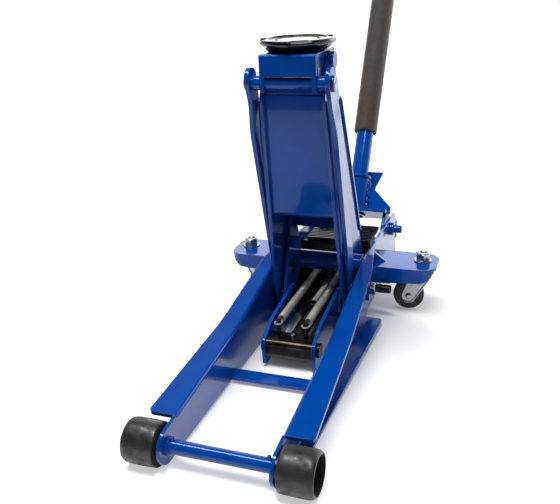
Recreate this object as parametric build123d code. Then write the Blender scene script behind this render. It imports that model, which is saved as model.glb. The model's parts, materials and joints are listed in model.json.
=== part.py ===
from build123d import *
import os
from math import asin, atan2, cos, degrees, hypot, pi, radians, sin, sqrt

# Hydraulic trolley jack at full lift, each piece a solid of its own, in millimetres and degrees.
# +X is the right side seen from the saddle end, +Y runs from the front wheels to the handle, +Z is up.
# Pieces are placed lengthwise from the front axle. At the end the whole jack is moved along Y so that
# the origin lies on the floor, under the middle of its overall box.

# Fits
RUN_FIT = 0.05
OPEN_FIT = 0.3
SIDE_GAP = 0.5
WELD_GAP = 0.02

# Side plates: pressed channels with flanges turned outwards, as (Y, Z) points of the top edge
FRAME_WIDTH = 150
PLATE_T = 5
NOSE_R = 25
KNEE = (255, 81)
KNEE_R = 420
SHOULDER = (455, 126)
SHOULDER_R = 160
PLATE_END = 735
PLATE_END_Z = 117
TAIL_START = 470
TAIL_Z = 20
PLATE_CORNER_R = 9
PLATE_REAR_R = 14
BEND_R = 4.8
TOP_FLANGE_START = 28
TOP_FLANGE_END = 545
TOP_FLANGE_FRONT_W = 43
TOP_FLANGE_WAIST_Y = 420
TOP_FLANGE_WAIST_W = 26
LOW_FLANGE_START = 45
LOW_FLANGE_END = 457
LOW_FLANGE_FRONT_W = 24
LOW_FLANGE_REAR_W = 37
FLANGE_CORNER_R = 8

# Front wheels, axle and tie bar
WHEEL_R = 31
WHEEL_W = 48
WHEEL_EDGE_R = 5
WHEEL_GAP = 4
WHEEL_CUP_R = 25
WHEEL_CUP_DEPTH = 22
WHEEL_STEP_H = 3
WHEEL_STEP_L = 8
AXLE_R = 10
AXLE_COLLAR_R = 13
AXLE_COLLAR_W = 4
AXLE_STUB = 6
ROLL_PIN_R = 2.5
ROLL_PIN_H = 5
ROLL_PIN_INSET = 8
WASHER_R = 17
RETAINER_R = 16
RETAINER_T = 3
TIE_Y = 204
TIE_DEPTH = 26
TIE_T = 5
TIE_Z = 7

# Lifting linkage: main pivot, saddle-end pivot and the offset of the parallel links, as (Y, Z)
PIVOT = (462, 112)
HEAD = (374, 474)
LINK_OFFSET = (-46, -27)
LOWERING = 85

# Lift arm, in its own frame: v across the arm towards the rear, u along it from the main pivot
ARM_T = 4.5
ARM_LINK_GAP = 1.5
ARM_NARROWING = 10.8
ARM_HEAD_R = 14
ARM_TOE_R = 24
ARM_HEEL_R = 50
ARM_FRONT_TOP = (-46, 332)
ARM_FRONT_LOW = (-80, 6)
ARM_EDGE_R = 6
COVER_TOP = (-40, 334)
COVER_LOW = (-64, 131)
COVER_T = 4
COVER_LIP = 11
COVER_LIP_R = 6
BACK_START = 34
BACK_END = 66
BACK_T = 4
BACK_OVERHANG = 3
BACK_CORNER_R = 12
PIVOT_TUBE_R = 17
SHAFT_R = 12.5
SHAFT_STICK_OUT = 1.5
COLLAR_R = 17
CHEEK_T = 5
CHEEK_ARM_GAP = 4.5
CHEEK_TOP = (8, 84)
CHEEK_TOP_R = 10
CHEEK_HUB_R = 30
CHEEK_TOE_R = 21
HEAD_BOLT_R = 9
HEAD_BOLT_CAP_R = 13
HEAD_BOLT_CAP_T = 5

# Parallel links and their pins
LINK_T = 7
LINK_SIDE_GAP = 5.5
LINK_EYE_R = 16
LINK_WAIST = 27
LINK_PIN_R = 8.5
LINK_PIVOT_R = 9
LINK_NUT_R = 14
LINK_PIN_HEAD_R = 12
LINK_PIN_HEAD_T = 4.3
SPACER_R = 11

# Saddle bracket and saddle
BRACKET_ARM_GAP = 1.7
BRACKET_T = 5
BRACKET_FRONT = 322
BRACKET_REAR = 412
BRACKET_TOP = 489
BRACKET_LEG_DROP = 13
BRACKET_WINDOW_TOP = 459
BRACKET_WINDOW_SIDE = 7
BRACKET_CORNER_R = 5
SADDLE_Y = 370
SADDLE_R = 57
SADDLE_FOOT_R = 46
SADDLE_H = 17.5
SADDLE_RIM_H = 6
SADDLE_RINGS = ((50, 45, 2.5), (34, 30, 2.5), (20, 17, 2.5))
SADDLE_NOTCHES = 4
SADDLE_NOTCH_W = 30
SADDLE_NOTCH_DEPTH = 7
SADDLE_STEM_R = 11
SADDLE_STEM_L = 20

# Ram, crosshead and pull links
RAM_Z = 33
RAM_R = 14
CROSSHEAD_Y = 283
CRANK_R = 69.8
CROSSHEAD_DEPTH = 36
CROSSHEAD_H = 32
CROSSHEAD_EDGE_R = 9
PULL_T = 6
PULL_CHEEK_GAP = 2
PULL_REAR_R = 20
PULL_CORNER_R = 5
PULL_CORNERS = ((270, 9), (270, 45), (307, 62))
CRANK_PIN_R = 10
SLOT_SIDE = 2.6
SLOT_END = 1.0
CROSSHEAD_PIN_R = 9
CROSSHEAD_PIN_CAP_R = 12
CROSSHEAD_PIN_CAP_T = 4

# Hydraulic unit
CYLINDER_R = 26
CYLINDER_FRONT = 405
GLAND_R = 22
GLAND_T = 7
RAM_INSIDE = 60
BLOCK_FRONT = 570
BLOCK_REAR = 615
BLOCK_LOW = 10
BLOCK_HIGH = 105
BLOCK_EDGE_R = 5
BARREL_R = 18
BARREL_L = 13
COVER_REAR = 652
UNIT_COVER_T = 4
UNIT_RIBS = 11
UNIT_RIB_W = 3
UNIT_RIB_H = 3
UNIT_COVER_MARGIN = 13
BLOCK_BOLT_R = 6
BLOCK_BOLT_HEAD_R = 9
BLOCK_BOLT_HEAD_L = 20
BLOCK_BOLT_PLACES = ((585, 30), (602, 72))

# Return springs: wire round posts on the crosshead and on a rear anchor bar
SPRING_X = 23
SPRING_Z = 71
SPRING_WIRE_R = 1.6
SPRING_COIL_R = 5.2
SPRING_TURNS = 32
SPRING_HOOK_R = 5.6
SPRING_NECK = 9
POST_R = 3.2
POST_Y = 290
POST_CAP_R = 4.6
POST_CAP_T = 2
POST_SINK = 6
ANCHOR_Y = 556
ANCHOR_DEPTH = 14
ANCHOR_MARGIN = 9
ANCHOR_LOW = 46
ANCHOR_TOP = 62

# Casters and their brackets
BRACKET_PLATE_T = 6
CASTER_BRACKET_TOP = 95
CASTER_BRACKET_FRONT = 493
CASTER_BRACKET_REAR = 575
CASTER_BRACKET_REACH = 116
CASTER_BRACKET_END_R = 26
BRACKET_APRON = 26
BRACKET_APRON_TIP = 20
GUSSET_Y = 520
GUSSET_REACH = 24
GUSSET_H = 19
GUSSET_T = 5
EAR_FRONT = 462
EAR_DROP = 57
EAR_BOLT_INSET = 16
FRAME_BOLT_R = 7.5
FRAME_BOLT_END = 26
FRAME_BOLT_HEAD_T = 4
FRAME_NUT_R = 13.5
CASTER_REACH = 88
CASTER_Y = 540
CASTER_TRAIL = 24
CASTER_SWIVEL = 186
CASTER_WHEEL_R = 28
CASTER_WHEEL_W = 18
CASTER_TYRE_EDGE_R = 4
CASTER_FORK_T = 2.5
CASTER_FORK_GAP = 1.0
CASTER_HEAD_R = 21
CASTER_HEAD_H = 12
CASTER_AXLE_R = 4
CASTER_STEM_R = 6
CASTER_RACE_R = 17
CASTER_RACE_T = 5
CASTER_RIVET_T = 4
NUT_R = 11
NUT_H = 10
FLAT_WASHER_R = 16
FLAT_WASHER_T = 2.5

# Handle yoke, handle, pump and release valve
YOKE_PIVOT = (677, 100)
HANDLE_LEAN = 33.5
SOCKET_V = 10
SOCKET_R = 23
SOCKET_START = 24
SOCKET_END = 108
SOCKET_RIM = 5
SOCKET_RIM_R = 26
YOKE_SIDE_GAP = 5
YOKE_EAR_T = 7
YOKE_EAR_R = 17
YOKE_BASE_LOW = 27
YOKE_BASE_T = 7
YOKE_BASE_FRONT = -22
YOKE_BASE_REAR = 36
YOKE_GUSSET_T = 6
YOKE_GUSSET_GAP = 1
YOKE_GUSSET_LOW = 32.5
YOKE_GUSSET_SHOULDER = 46
YOKE_GUSSET_TOP = 95
YOKE_BACK_T = 5
YOKE_BACK_HALF_TOP = 45
YOKE_BACK_HALF_LOW = 20
YOKE_BACK_LOW = 62
YOKE_BACK_TOP = 127
YOKE_BOLT_R = 8
YOKE_BOLT_HEAD_R = 13
YOKE_BOLT_HEAD_T = 24
ROLLER_DROP = 28
ROLLER_R = 8
HANDLE_R = 18
HANDLE_WALL = 2.5
HANDLE_L = 1010
HANDLE_FOOT = 36
FOAM_R = 24
FOAM_START = 205
FOAM_L = 430
GRIP_R = 21
GRIP_L = 150
GRIP_CAP_T = 6
PLUNGER_R = 7
PLUNGER_Z = 80
PLUNGER_HEAD_R = 17
PLUNGER_HEAD_T = 6
PLUNGER_REST_GAP = 0.6
PLUNGER_STROKE = 18
VALVE_R = 6
VALVE_Z = 44
VALVE_KNOB_R = 9
VALVE_L = 22
VALVE_FORK_L = 12

# Places that follow from the driving dimensions
HALF = FRAME_WIDTH / 2
LINK_INNER = HALF - LINK_SIDE_GAP - LINK_T
ARM_HALF_AT_PIVOT = LINK_INNER - ARM_LINK_GAP - ARM_T
ARM_HALF_AT_HEAD = ARM_HALF_AT_PIVOT - ARM_NARROWING
CHEEK_INNER = ARM_HALF_AT_PIVOT - CHEEK_ARM_GAP - CHEEK_T
PULL_INNER = CHEEK_INNER - PULL_CHEEK_GAP - PULL_T
BRACKET_HALF = ARM_HALF_AT_HEAD - BRACKET_ARM_GAP
CASTER_X = HALF + PLATE_T + CASTER_REACH
YOKE_HALF = HALF - YOKE_SIDE_GAP
YOKE_GUSSET_HALF = HALF - YOKE_GUSSET_GAP
AXLE_Z = WHEEL_R
PLATE_LOW = AXLE_Z - NOSE_R
ARM_L = hypot(HEAD[0] - PIVOT[0], HEAD[1] - PIVOT[1])
ARM_LEAN = degrees(atan2(PIVOT[0] - HEAD[0], HEAD[1] - PIVOT[1]))
ARM_TAPER = ARM_NARROWING / ARM_L
ARM_FRAME = Pos(0, *PIVOT) * Rot(ARM_LEAN, 0, 0)
LINK_FOOT = (PIVOT[0] + LINK_OFFSET[0], PIVOT[1] + LINK_OFFSET[1])
LINK_HEAD = (HEAD[0] + LINK_OFFSET[0], HEAD[1] + LINK_OFFSET[1])
CRANK_SWING = radians(LOWERING / 2)
CRANK_PIN = (PIVOT[0] - CRANK_R * sin(CRANK_SWING), PIVOT[1] - CRANK_R * cos(CRANK_SWING))
RAM_STROKE = 2 * CRANK_R * sin(CRANK_SWING)
CRANK_SAG = CRANK_R * (1 - cos(CRANK_SWING))
YOKE_FRAME = Pos(0, *YOKE_PIVOT) * Rot(-HANDLE_LEAN, 0, 0)
SOCKET_FRAME = YOKE_FRAME * Pos(0, SOCKET_V, 0)
CASTER_UNDER = CASTER_BRACKET_TOP - BRACKET_PLATE_T


def slab(outline, x0, x1):
    """A lengthwise (Y, Z) outline made solid from x0 to x1 across the jack."""
    return extrude(Plane.YZ.offset(x0) * outline, x1 - x0, dir=(1, 0, 0))


def rod(radius, x0, x1, place):
    """A round bar across the jack, from x0 to x1 at the (Y, Z) place."""
    return Pos((x0 + x1) / 2, *place) * Rot(0, 90, 0) * Cylinder(radius, x1 - x0)


def post(radius, z0, z1, x, y):
    """An upright round bar from z0 to z1."""
    return Pos(x, y, (z0 + z1) / 2) * Cylinder(radius, z1 - z0)


def barrel(radius, y0, y1, x, z):
    """A round bar along the jack, from y0 to y1."""
    return Pos(x, (y0 + y1) / 2, z) * Rot(90, 0, 0) * Cylinder(radius, y1 - y0)


def hex_nut(x0, place, bore, radius):
    """A hexagon nut whose inner face is at x0, bored for its bolt."""
    hexagon = Plane.YZ.offset(x0) * Pos(*place) * RegularPolygon(radius, 6)
    return extrude(hexagon, NUT_H, dir=(1, 0, 0)) - rod(bore, x0 - 1, x0 + NUT_H + 1, place)


def other_side(piece):
    return mirror(piece, about=Plane.YZ)


def both_sides(piece):
    return Compound([*piece.solids(), *other_side(piece).solids()])


def arm_half(u):
    """Half of the clear width between the arm plates at height u along the arm."""
    return ARM_HALF_AT_PIVOT - ARM_TAPER * u


def in_arm(place):
    """A (Y, Z) place turned into the arm's own (v, u)."""
    dy = place[0] - PIVOT[0]
    dz = place[1] - PIVOT[1]
    lean = radians(ARM_LEAN)
    return dy * cos(lean) + dz * sin(lean), dz * cos(lean) - dy * sin(lean)


# Chassis

def side_plate():
    nose_top = (0, AXLE_Z + NOSE_R)
    nose_low = (0, PLATE_LOW)
    rise = TAIL_Z - PLATE_LOW
    edge = FilletPolyline(
        nose_top, KNEE, SHOULDER, (PLATE_END, PLATE_END_Z), (PLATE_END, TAIL_Z),
        (TAIL_START + rise, TAIL_Z), (TAIL_START, PLATE_LOW), nose_low,
        radius=[KNEE_R, SHOULDER_R, PLATE_REAR_R, PLATE_REAR_R, PLATE_CORNER_R, PLATE_CORNER_R])
    nose = ThreePointArc(nose_low, (-NOSE_R, AXLE_Z), nose_top)
    plate = slab(make_face((edge + nose).edges()), HALF, HALF + PLATE_T)
    band = top_band(nose_top)
    plate = plate - band + top_flange(band) + low_flange()
    for radius, place in (
            (AXLE_R, (0, AXLE_Z)), (SHAFT_R, PIVOT), (LINK_PIVOT_R, LINK_FOOT), (YOKE_BOLT_R, YOKE_PIVOT),
            *((BLOCK_BOLT_R, place) for place in BLOCK_BOLT_PLACES),
            (FRAME_BOLT_R, ear_bolt_place())):
        plate -= rod(radius, HALF - PLATE_T, HALF + 2 * PLATE_T, place)
    return plate


def top_band(nose_top):
    """The strip of metal along the top edge, wider than the flange that is cut from it."""
    rise = (KNEE[1] - nose_top[1]) / KNEE[0]
    start = (TOP_FLANGE_START, nose_top[1] + rise * TOP_FLANGE_START)
    fall = (SHOULDER[1] - PLATE_END_Z) / (PLATE_END - SHOULDER[0])
    end = (TOP_FLANGE_END, SHOULDER[1] - fall * (TOP_FLANGE_END - SHOULDER[0]))
    upper = FilletPolyline(start, KNEE, SHOULDER, end, radius=[KNEE_R, SHOULDER_R])
    lower = Pos(0, -PLATE_T) * upper
    ends = Line(upper @ 0, lower @ 0) + Line(upper @ 1, lower @ 1)
    return slab(make_face((upper + lower + ends).edges()), HALF, HALF + 2 * TOP_FLANGE_FRONT_W)


def top_flange(band):
    """The flange itself, rounded where it is bent over and narrowing to nothing at the rear."""
    upper = [face for face in band.faces() if face.normal_at().Z > 0.5]
    bend = [edge for face in upper for edge in face.edges().filter_by_position(Axis.X, HALF, HALF)]
    band = fillet(bend, BEND_R)
    plan = Polygon(
        (HALF, TOP_FLANGE_START), (HALF + TOP_FLANGE_FRONT_W, TOP_FLANGE_START),
        (HALF + TOP_FLANGE_WAIST_W, TOP_FLANGE_WAIST_Y), (HALF + PLATE_T, TOP_FLANGE_END),
        (HALF, TOP_FLANGE_END), align=None)
    plan = fillet(plan.vertices().sort_by(Axis.X)[-1], FLANGE_CORNER_R)
    return band & extrude(plan, 2 * SHOULDER[1])


def low_flange():
    plan = Polygon(
        (HALF, LOW_FLANGE_START), (HALF + LOW_FLANGE_FRONT_W, LOW_FLANGE_START),
        (HALF + LOW_FLANGE_REAR_W, LOW_FLANGE_END), (HALF, LOW_FLANGE_END), align=None)
    plan = fillet(plan.vertices().sort_by(Axis.X)[-2:], FLANGE_CORNER_R)
    return Pos(0, 0, PLATE_LOW) * extrude(plan, PLATE_T)


def front_tie_bar():
    return Pos(0, TIE_Y + TIE_DEPTH / 2, TIE_Z + TIE_T / 2) * Box(FRAME_WIDTH, TIE_DEPTH, TIE_T)


def wheel_start():
    return HALF + PLATE_T + WHEEL_GAP


def cup_floor():
    return wheel_start() + WHEEL_W - WHEEL_CUP_DEPTH


def front_axle():
    reach = cup_floor() + AXLE_STUB
    bar = rod(AXLE_R, -reach, reach, (0, AXLE_Z))
    end = rod(AXLE_COLLAR_R, HALF - AXLE_COLLAR_W, HALF, (0, AXLE_Z))
    end += post(ROLL_PIN_R, AXLE_Z, AXLE_Z + AXLE_R + ROLL_PIN_H, HALF - ROLL_PIN_INSET, 0)
    return bar + end + other_side(end)


def axle_washers():
    x0 = HALF + PLATE_T
    ring = rod(WASHER_R, x0, x0 + WHEEL_GAP - SIDE_GAP, (0, AXLE_Z))
    return both_sides(ring - rod(AXLE_R, x0 - 1, x0 + WHEEL_GAP + 1, (0, AXLE_Z)))


def axle_retainers():
    x0 = cup_floor() + SIDE_GAP
    ring = rod(RETAINER_R, x0, x0 + RETAINER_T, (0, AXLE_Z))
    return both_sides(ring - rod(AXLE_R, x0 - 1, x0 + RETAINER_T + 1, (0, AXLE_Z)))


def front_wheel():
    """A solid roller with a deep cup in its outer end and a small step at its inner end."""
    x0 = wheel_start()
    x1 = x0 + WHEEL_W
    bore = AXLE_R + RUN_FIT
    section = make_face(FilletPolyline(
        (x0, bore), (x0, WHEEL_R - WHEEL_STEP_H), (x0 + WHEEL_STEP_L, WHEEL_R - WHEEL_STEP_H),
        (x0 + WHEEL_STEP_L, WHEEL_R), (x1, WHEEL_R), (x1, WHEEL_CUP_R), (cup_floor(), WHEEL_CUP_R),
        (cup_floor(), bore), radius=[0, 1, 0, 1.5, WHEEL_EDGE_R, 2, 3, 0], close=True).edges())
    roller = revolve(Plane.XZ * section, Axis.X)
    return Pos(0, 0, AXLE_Z) * roller


def main_shaft():
    reach = HALF + PLATE_T + SHAFT_STICK_OUT
    return rod(SHAFT_R, -reach, reach, PIVOT)


def shaft_collars():
    """Spacer rings between the arm's pivot tube and the side plates."""
    x0 = ARM_HALF_AT_PIVOT + ARM_T + SIDE_GAP
    return both_sides(rod(COLLAR_R, x0, HALF, PIVOT) - rod(SHAFT_R, 0, HALF + 1, PIVOT))


def link_pivot_bolts():
    """Stub bolts in the side plates that carry the feet of the parallel links."""
    outside = HALF + PLATE_T + NUT_H + 2
    shoulder = rod(1.6 * LINK_PIVOT_R, LINK_INNER + LINK_T + SIDE_GAP, HALF, LINK_FOOT)
    return both_sides(rod(LINK_PIVOT_R, LINK_INNER, outside, LINK_FOOT) + shoulder)


def ear_bolt_place():
    return EAR_FRONT + EAR_BOLT_INSET, CASTER_BRACKET_TOP - EAR_DROP + EAR_BOLT_INSET + BRACKET_PLATE_T


def frame_bolts():
    """Bolts through the front of each caster bracket's ear, with their heads inside the frame."""
    head = rod(FRAME_NUT_R, HALF - FRAME_BOLT_HEAD_T, HALF, ear_bolt_place())
    reach = HALF + PLATE_T + BRACKET_PLATE_T + NUT_H + FRAME_BOLT_END
    bolt = rod(FRAME_BOLT_R, HALF, reach, ear_bolt_place())
    bolt = chamfer(bolt.edges().sort_by(Axis.X)[-1], FRAME_BOLT_R / 6)
    return both_sides(head + bolt)


def frame_nuts():
    web = HALF + PLATE_T
    nuts = [hex_nut(web, LINK_FOOT, LINK_PIVOT_R, LINK_NUT_R)]
    nuts += [hex_nut(web + BRACKET_PLATE_T, ear_bolt_place(), FRAME_BOLT_R, FRAME_NUT_R)]
    return Compound([s for nut in nuts for s in both_sides(nut).solids()])


# Lift arm

def arm_plate():
    """One tapered cheek of the arm, its outline hulled round the head, toe and heel."""
    toe = in_arm(CRANK_PIN)
    outline = make_hull([
        *(Pos(0, ARM_L) * Circle(ARM_HEAD_R)).edges(),
        *(Pos(*ARM_FRONT_TOP) * Circle(ARM_EDGE_R)).edges(),
        *(Pos(*ARM_FRONT_LOW) * Circle(ARM_EDGE_R)).edges(),
        *(Pos(*toe) * Circle(ARM_TOE_R)).edges(),
        *Circle(ARM_HEEL_R).edges()])
    plate = extrude(Plane.YZ * outline, ARM_T, dir=(1, 0, 0))
    tilt = -degrees(atan2(ARM_NARROWING, ARM_L))
    plate = Pos(ARM_HALF_AT_PIVOT, 0, 0) * Rot(0, tilt, 0) * plate
    plate -= rod(PIVOT_TUBE_R, 0, HALF, (0, 0))
    plate -= rod(HEAD_BOLT_R, 0, HALF, (0, ARM_L))
    plate -= rod(CRANK_PIN_R, 0, HALF, toe)
    return plate


def arm_gap(overhang):
    """The wedge between the arm plates, widened on each side by the overhang."""
    low = -ARM_L / 2
    high = 1.2 * ARM_L
    wedge = Polygon(
        (-arm_half(low) - overhang, low), (arm_half(low) + overhang, low),
        (arm_half(high) + overhang, high), (-arm_half(high) - overhang, high), align=None)
    return extrude(Plane.XZ * wedge, ARM_L, both=True)


def arm_cover():
    """The plate set between the arm cheeks, with its lower edge rolled inwards."""
    lip = (COVER_LOW[0] + COVER_LIP, COVER_LOW[1] + COVER_LIP / 3)
    path = FilletPolyline(COVER_TOP, COVER_LOW, lip, radius=[COVER_LIP_R])
    return slab(trace(path, COVER_T), -HALF, HALF) & arm_gap(0)


def arm_rear_edge():
    """Ends of the arm's straight rear edge, which is tangent to the heel and to the head."""
    turn = asin((ARM_HEEL_R - ARM_HEAD_R) / ARM_L)
    out = Vector(cos(turn), sin(turn))
    return out * ARM_HEEL_R, Vector(0, ARM_L) + out * ARM_HEAD_R


def arm_back_plate():
    """The plate over the arm's rear edges, which stands a little proud of the cheeks."""
    low, top = arm_rear_edge()
    run = top - low
    proud = Vector(run.Y, -run.X).normalized() * WELD_GAP
    low += run.normalized() * BACK_START + proud
    top += proud - run.normalized() * BACK_END
    low_half = arm_half(low.Y) + ARM_T + BACK_OVERHANG
    top_half = arm_half(top.Y) + ARM_T + BACK_OVERHANG
    length = (top - low).length
    outline = Polygon((-low_half, 0), (low_half, 0), (top_half, length), (-top_half, length), align=None)
    outline = fillet(outline.vertices().sort_by(Axis.Y)[-2:], BACK_CORNER_R)
    rear = Plane(origin=(0, low.X, low.Y), x_dir=(1, 0, 0), z_dir=(0, -run.Y, run.X))
    return extrude(rear * outline, BACK_T, dir=(0, run.Y, -run.X))


def pivot_tube():
    reach = ARM_HALF_AT_PIVOT + ARM_T
    return rod(PIVOT_TUBE_R, -reach, reach, (0, 0)) - rod(SHAFT_R + RUN_FIT, -HALF, HALF, (0, 0))


def crank_cheek():
    """An inner plate that carries the crank pin beside the pull link."""
    toe = in_arm(CRANK_PIN)
    outline = make_hull([
        *(Pos(*CHEEK_TOP) * Circle(CHEEK_TOP_R)).edges(),
        *Circle(CHEEK_HUB_R).edges(),
        *(Pos(*toe) * Circle(CHEEK_TOE_R)).edges()])
    cheek = slab(outline, CHEEK_INNER, CHEEK_INNER + CHEEK_T)
    cheek -= rod(PIVOT_TUBE_R, 0, HALF, (0, 0))
    return cheek - rod(CRANK_PIN_R, 0, HALF, toe)


def crank_pins():
    return both_sides(rod(CRANK_PIN_R, PULL_INNER, ARM_HALF_AT_PIVOT + ARM_T + 1, in_arm(CRANK_PIN)))


def head_bolts():
    """Shouldered bolts on which the saddle bracket turns."""
    outer = arm_half(ARM_L) + ARM_T
    pin = rod(HEAD_BOLT_R, BRACKET_HALF - BRACKET_T, outer + 1, (0, ARM_L))
    cap = rod(HEAD_BOLT_CAP_R, outer + 1, outer + 1 + HEAD_BOLT_CAP_T, (0, ARM_L))
    cap = chamfer(cap.edges().sort_by(Axis.X)[-1], HEAD_BOLT_CAP_T / 4)
    return both_sides(pin + cap)


# Parallel links

def link():
    outline = Pos(*LINK_FOOT) * Circle(LINK_EYE_R)
    outline += Pos(*LINK_HEAD) * Circle(LINK_EYE_R)
    run = Vector(*LINK_HEAD) - Vector(*LINK_FOOT)
    middle = Vector(*LINK_HEAD) * 0.5 + Vector(*LINK_FOOT) * 0.5
    bar = Rectangle(LINK_WAIST, run.length)
    outline += Pos(middle.X, middle.Y) * Rot(0, 0, ARM_LEAN) * bar
    bar = slab(outline, LINK_INNER, LINK_INNER + LINK_T)
    bar -= rod(LINK_PIVOT_R + RUN_FIT, 0, HALF, LINK_FOOT)
    return bar - rod(LINK_PIN_R, 0, HALF, LINK_HEAD)


def link_pin():
    reach = LINK_INNER + LINK_T + LINK_PIN_HEAD_T
    pin = rod(LINK_PIN_R, -reach, reach, LINK_HEAD)
    return pin


def link_pin_nuts():
    x0 = LINK_INNER + LINK_T
    head = rod(LINK_PIN_HEAD_R, x0, x0 + LINK_PIN_HEAD_T, LINK_HEAD)
    head = chamfer(head.edges().sort_by(Axis.X)[-1], LINK_PIN_HEAD_T / 4)
    return both_sides(head - rod(LINK_PIN_R, x0 - 1, HALF + 1, LINK_HEAD))


def link_spacers():
    x0 = BRACKET_HALF + SIDE_GAP
    tube = rod(SPACER_R, x0, LINK_INNER, LINK_HEAD)
    return both_sides(tube - rod(LINK_PIN_R, x0 - 1, LINK_INNER + 1, LINK_HEAD))


# Saddle

def saddle_bracket():
    """A folded box, open below and behind, with a window for the link pin in its front wall."""
    legs = LINK_HEAD[1] - BRACKET_LEG_DROP
    depth = BRACKET_REAR - BRACKET_FRONT
    height = BRACKET_TOP - legs
    box = Box(2 * BRACKET_HALF, depth, height)
    box = fillet(box.edges().filter_by(Axis.Z).sort_by(Axis.Y)[:2], BRACKET_CORNER_R)
    box = Pos(0, BRACKET_FRONT + depth / 2, legs + height / 2) * box
    inside = 2 * (BRACKET_HALF - BRACKET_T)
    box -= Pos(0, BRACKET_FRONT + BRACKET_T + depth / 2, BRACKET_TOP - BRACKET_T - height / 2) * Box(
        inside, depth, height)
    window = BRACKET_WINDOW_TOP - legs
    box -= Pos(0, BRACKET_FRONT, BRACKET_WINDOW_TOP - window) * Box(
        2 * (BRACKET_HALF - BRACKET_WINDOW_SIDE), 2 * depth / 3, 2 * window)
    slope = Polygon(
        (BRACKET_REAR + 1, legs - 1), (BRACKET_REAR + 1, BRACKET_TOP - BRACKET_T),
        (HEAD[0] + ARM_HEAD_R, legs - 1), align=None)
    box -= slab(slope, -HALF, HALF)
    box -= rod(HEAD_BOLT_R + RUN_FIT, -HALF, HALF, HEAD)
    box -= rod(LINK_PIN_R + OPEN_FIT, -HALF, HALF, LINK_HEAD)
    return box - post(SADDLE_STEM_R + RUN_FIT, legs, BRACKET_TOP + 1, 0, SADDLE_Y)


def saddle():
    """A round pressed pad with raised rings, notches in its rim and a stem through the bracket."""
    base = BRACKET_TOP + SIDE_GAP
    top = base + SADDLE_H
    rim = top - SADDLE_RIM_H
    section = make_face(FilletPolyline(
        (0, base), (SADDLE_FOOT_R, base), (SADDLE_R - 3, rim - 3), (SADDLE_R, rim), (SADDLE_R, top),
        (0, top), radius=[3, 2, 2, 2]).edges() + [Line((0, top), (0, base)).edge()])
    pad = revolve(Plane.XZ * section, Axis.Z)
    for outer, inner, depth in SADDLE_RINGS:
        groove = Cylinder(outer, 2 * depth) - Cylinder(inner, 2 * depth)
        pad -= Pos(0, 0, top) * groove
    notch = Box(SADDLE_NOTCH_W, SADDLE_NOTCH_DEPTH, SADDLE_RIM_H)
    for turn in range(SADDLE_NOTCHES):
        pad -= Rot(0, 0, 360 / SADDLE_NOTCHES * turn) * Pos(0, -SADDLE_R, top) * notch
    return Pos(0, SADDLE_Y, 0) * (pad + post(SADDLE_STEM_R, base - SADDLE_STEM_L, base, 0, 0))


# Ram

def crosshead():
    low = RAM_Z - CROSSHEAD_H / 2
    block = Box(2 * PULL_INNER, CROSSHEAD_DEPTH, CROSSHEAD_H)
    long_edges = block.edges().filter_by(Axis.X)
    block = fillet(long_edges.sort_by(Axis.Y)[:2], CROSSHEAD_EDGE_R)
    block = Pos(0, CROSSHEAD_Y, low + CROSSHEAD_H / 2) * block
    block -= barrel(RAM_R, CROSSHEAD_Y + CROSSHEAD_PIN_R + 2, CROSSHEAD_Y + CROSSHEAD_DEPTH, 0, RAM_Z)
    for side in (-1, 1):
        block -= post(POST_R, low + CROSSHEAD_H - POST_SINK, SPRING_Z, side * SPRING_X, POST_Y)
    return block - rod(CROSSHEAD_PIN_R, -HALF, HALF, (CROSSHEAD_Y, RAM_Z))


def ram_rod():
    return barrel(RAM_R, CROSSHEAD_Y + CROSSHEAD_PIN_R + 2, CYLINDER_FRONT + RAM_INSIDE, 0, RAM_Z)


def crosshead_pin():
    reach = PULL_INNER + PULL_T
    pin = rod(CROSSHEAD_PIN_R, -reach, reach, (CROSSHEAD_Y, RAM_Z))
    cap = rod(CROSSHEAD_PIN_CAP_R, reach, reach + CROSSHEAD_PIN_CAP_T, (CROSSHEAD_Y, RAM_Z))
    return pin + cap + other_side(cap)


def pull_link():
    """A flat link from the crosshead to the crank pin, with an upright slot at the crank."""
    slot_low = (CRANK_PIN[0], CRANK_PIN[1] - CRANK_SAG - SLOT_END)
    slot_top = (CRANK_PIN[0], CRANK_PIN[1] + SLOT_END)
    outline = make_hull([
        *(edge for corner in PULL_CORNERS for edge in (Pos(*corner) * Circle(PULL_CORNER_R)).edges()),
        *(Pos(*slot_low) * Circle(PULL_REAR_R)).edges(),
        *(Pos(*slot_top) * Circle(PULL_REAR_R)).edges()])
    slot = make_hull([
        *(Pos(*slot_low) * Circle(CRANK_PIN_R + SLOT_SIDE)).edges(),
        *(Pos(*slot_top) * Circle(CRANK_PIN_R + SLOT_SIDE)).edges()])
    plate = slab(outline - slot, PULL_INNER, PULL_INNER + PULL_T)
    return plate - rod(CROSSHEAD_PIN_R, 0, HALF, (CROSSHEAD_Y, RAM_Z))


def spring_posts():
    """Studs on the crosshead that hold the front hooks of the return springs."""
    return both_sides(spring_stud(RAM_Z + CROSSHEAD_H / 2 - POST_SINK, POST_Y))


# Hydraulic unit

def ram_cylinder():
    tube = barrel(CYLINDER_R, CYLINDER_FRONT, BLOCK_FRONT, 0, RAM_Z)
    bore_end = CYLINDER_FRONT + RAM_INSIDE + RAM_STROKE + 2 * SIDE_GAP
    return tube - barrel(RAM_R + RUN_FIT, CYLINDER_FRONT - 1, bore_end, 0, RAM_Z)


def cylinder_gland():
    """The bright ring nut that seals the ram where it leaves the cylinder."""
    ring = barrel(GLAND_R, CYLINDER_FRONT - GLAND_T, CYLINDER_FRONT, 0, RAM_Z)
    ring = chamfer(ring.edges().sort_by(Axis.Y)[0], GLAND_T / 4)
    return ring - barrel(RAM_R + RUN_FIT, CYLINDER_FRONT - 2 * GLAND_T, CYLINDER_FRONT + 1, 0, RAM_Z)


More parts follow.
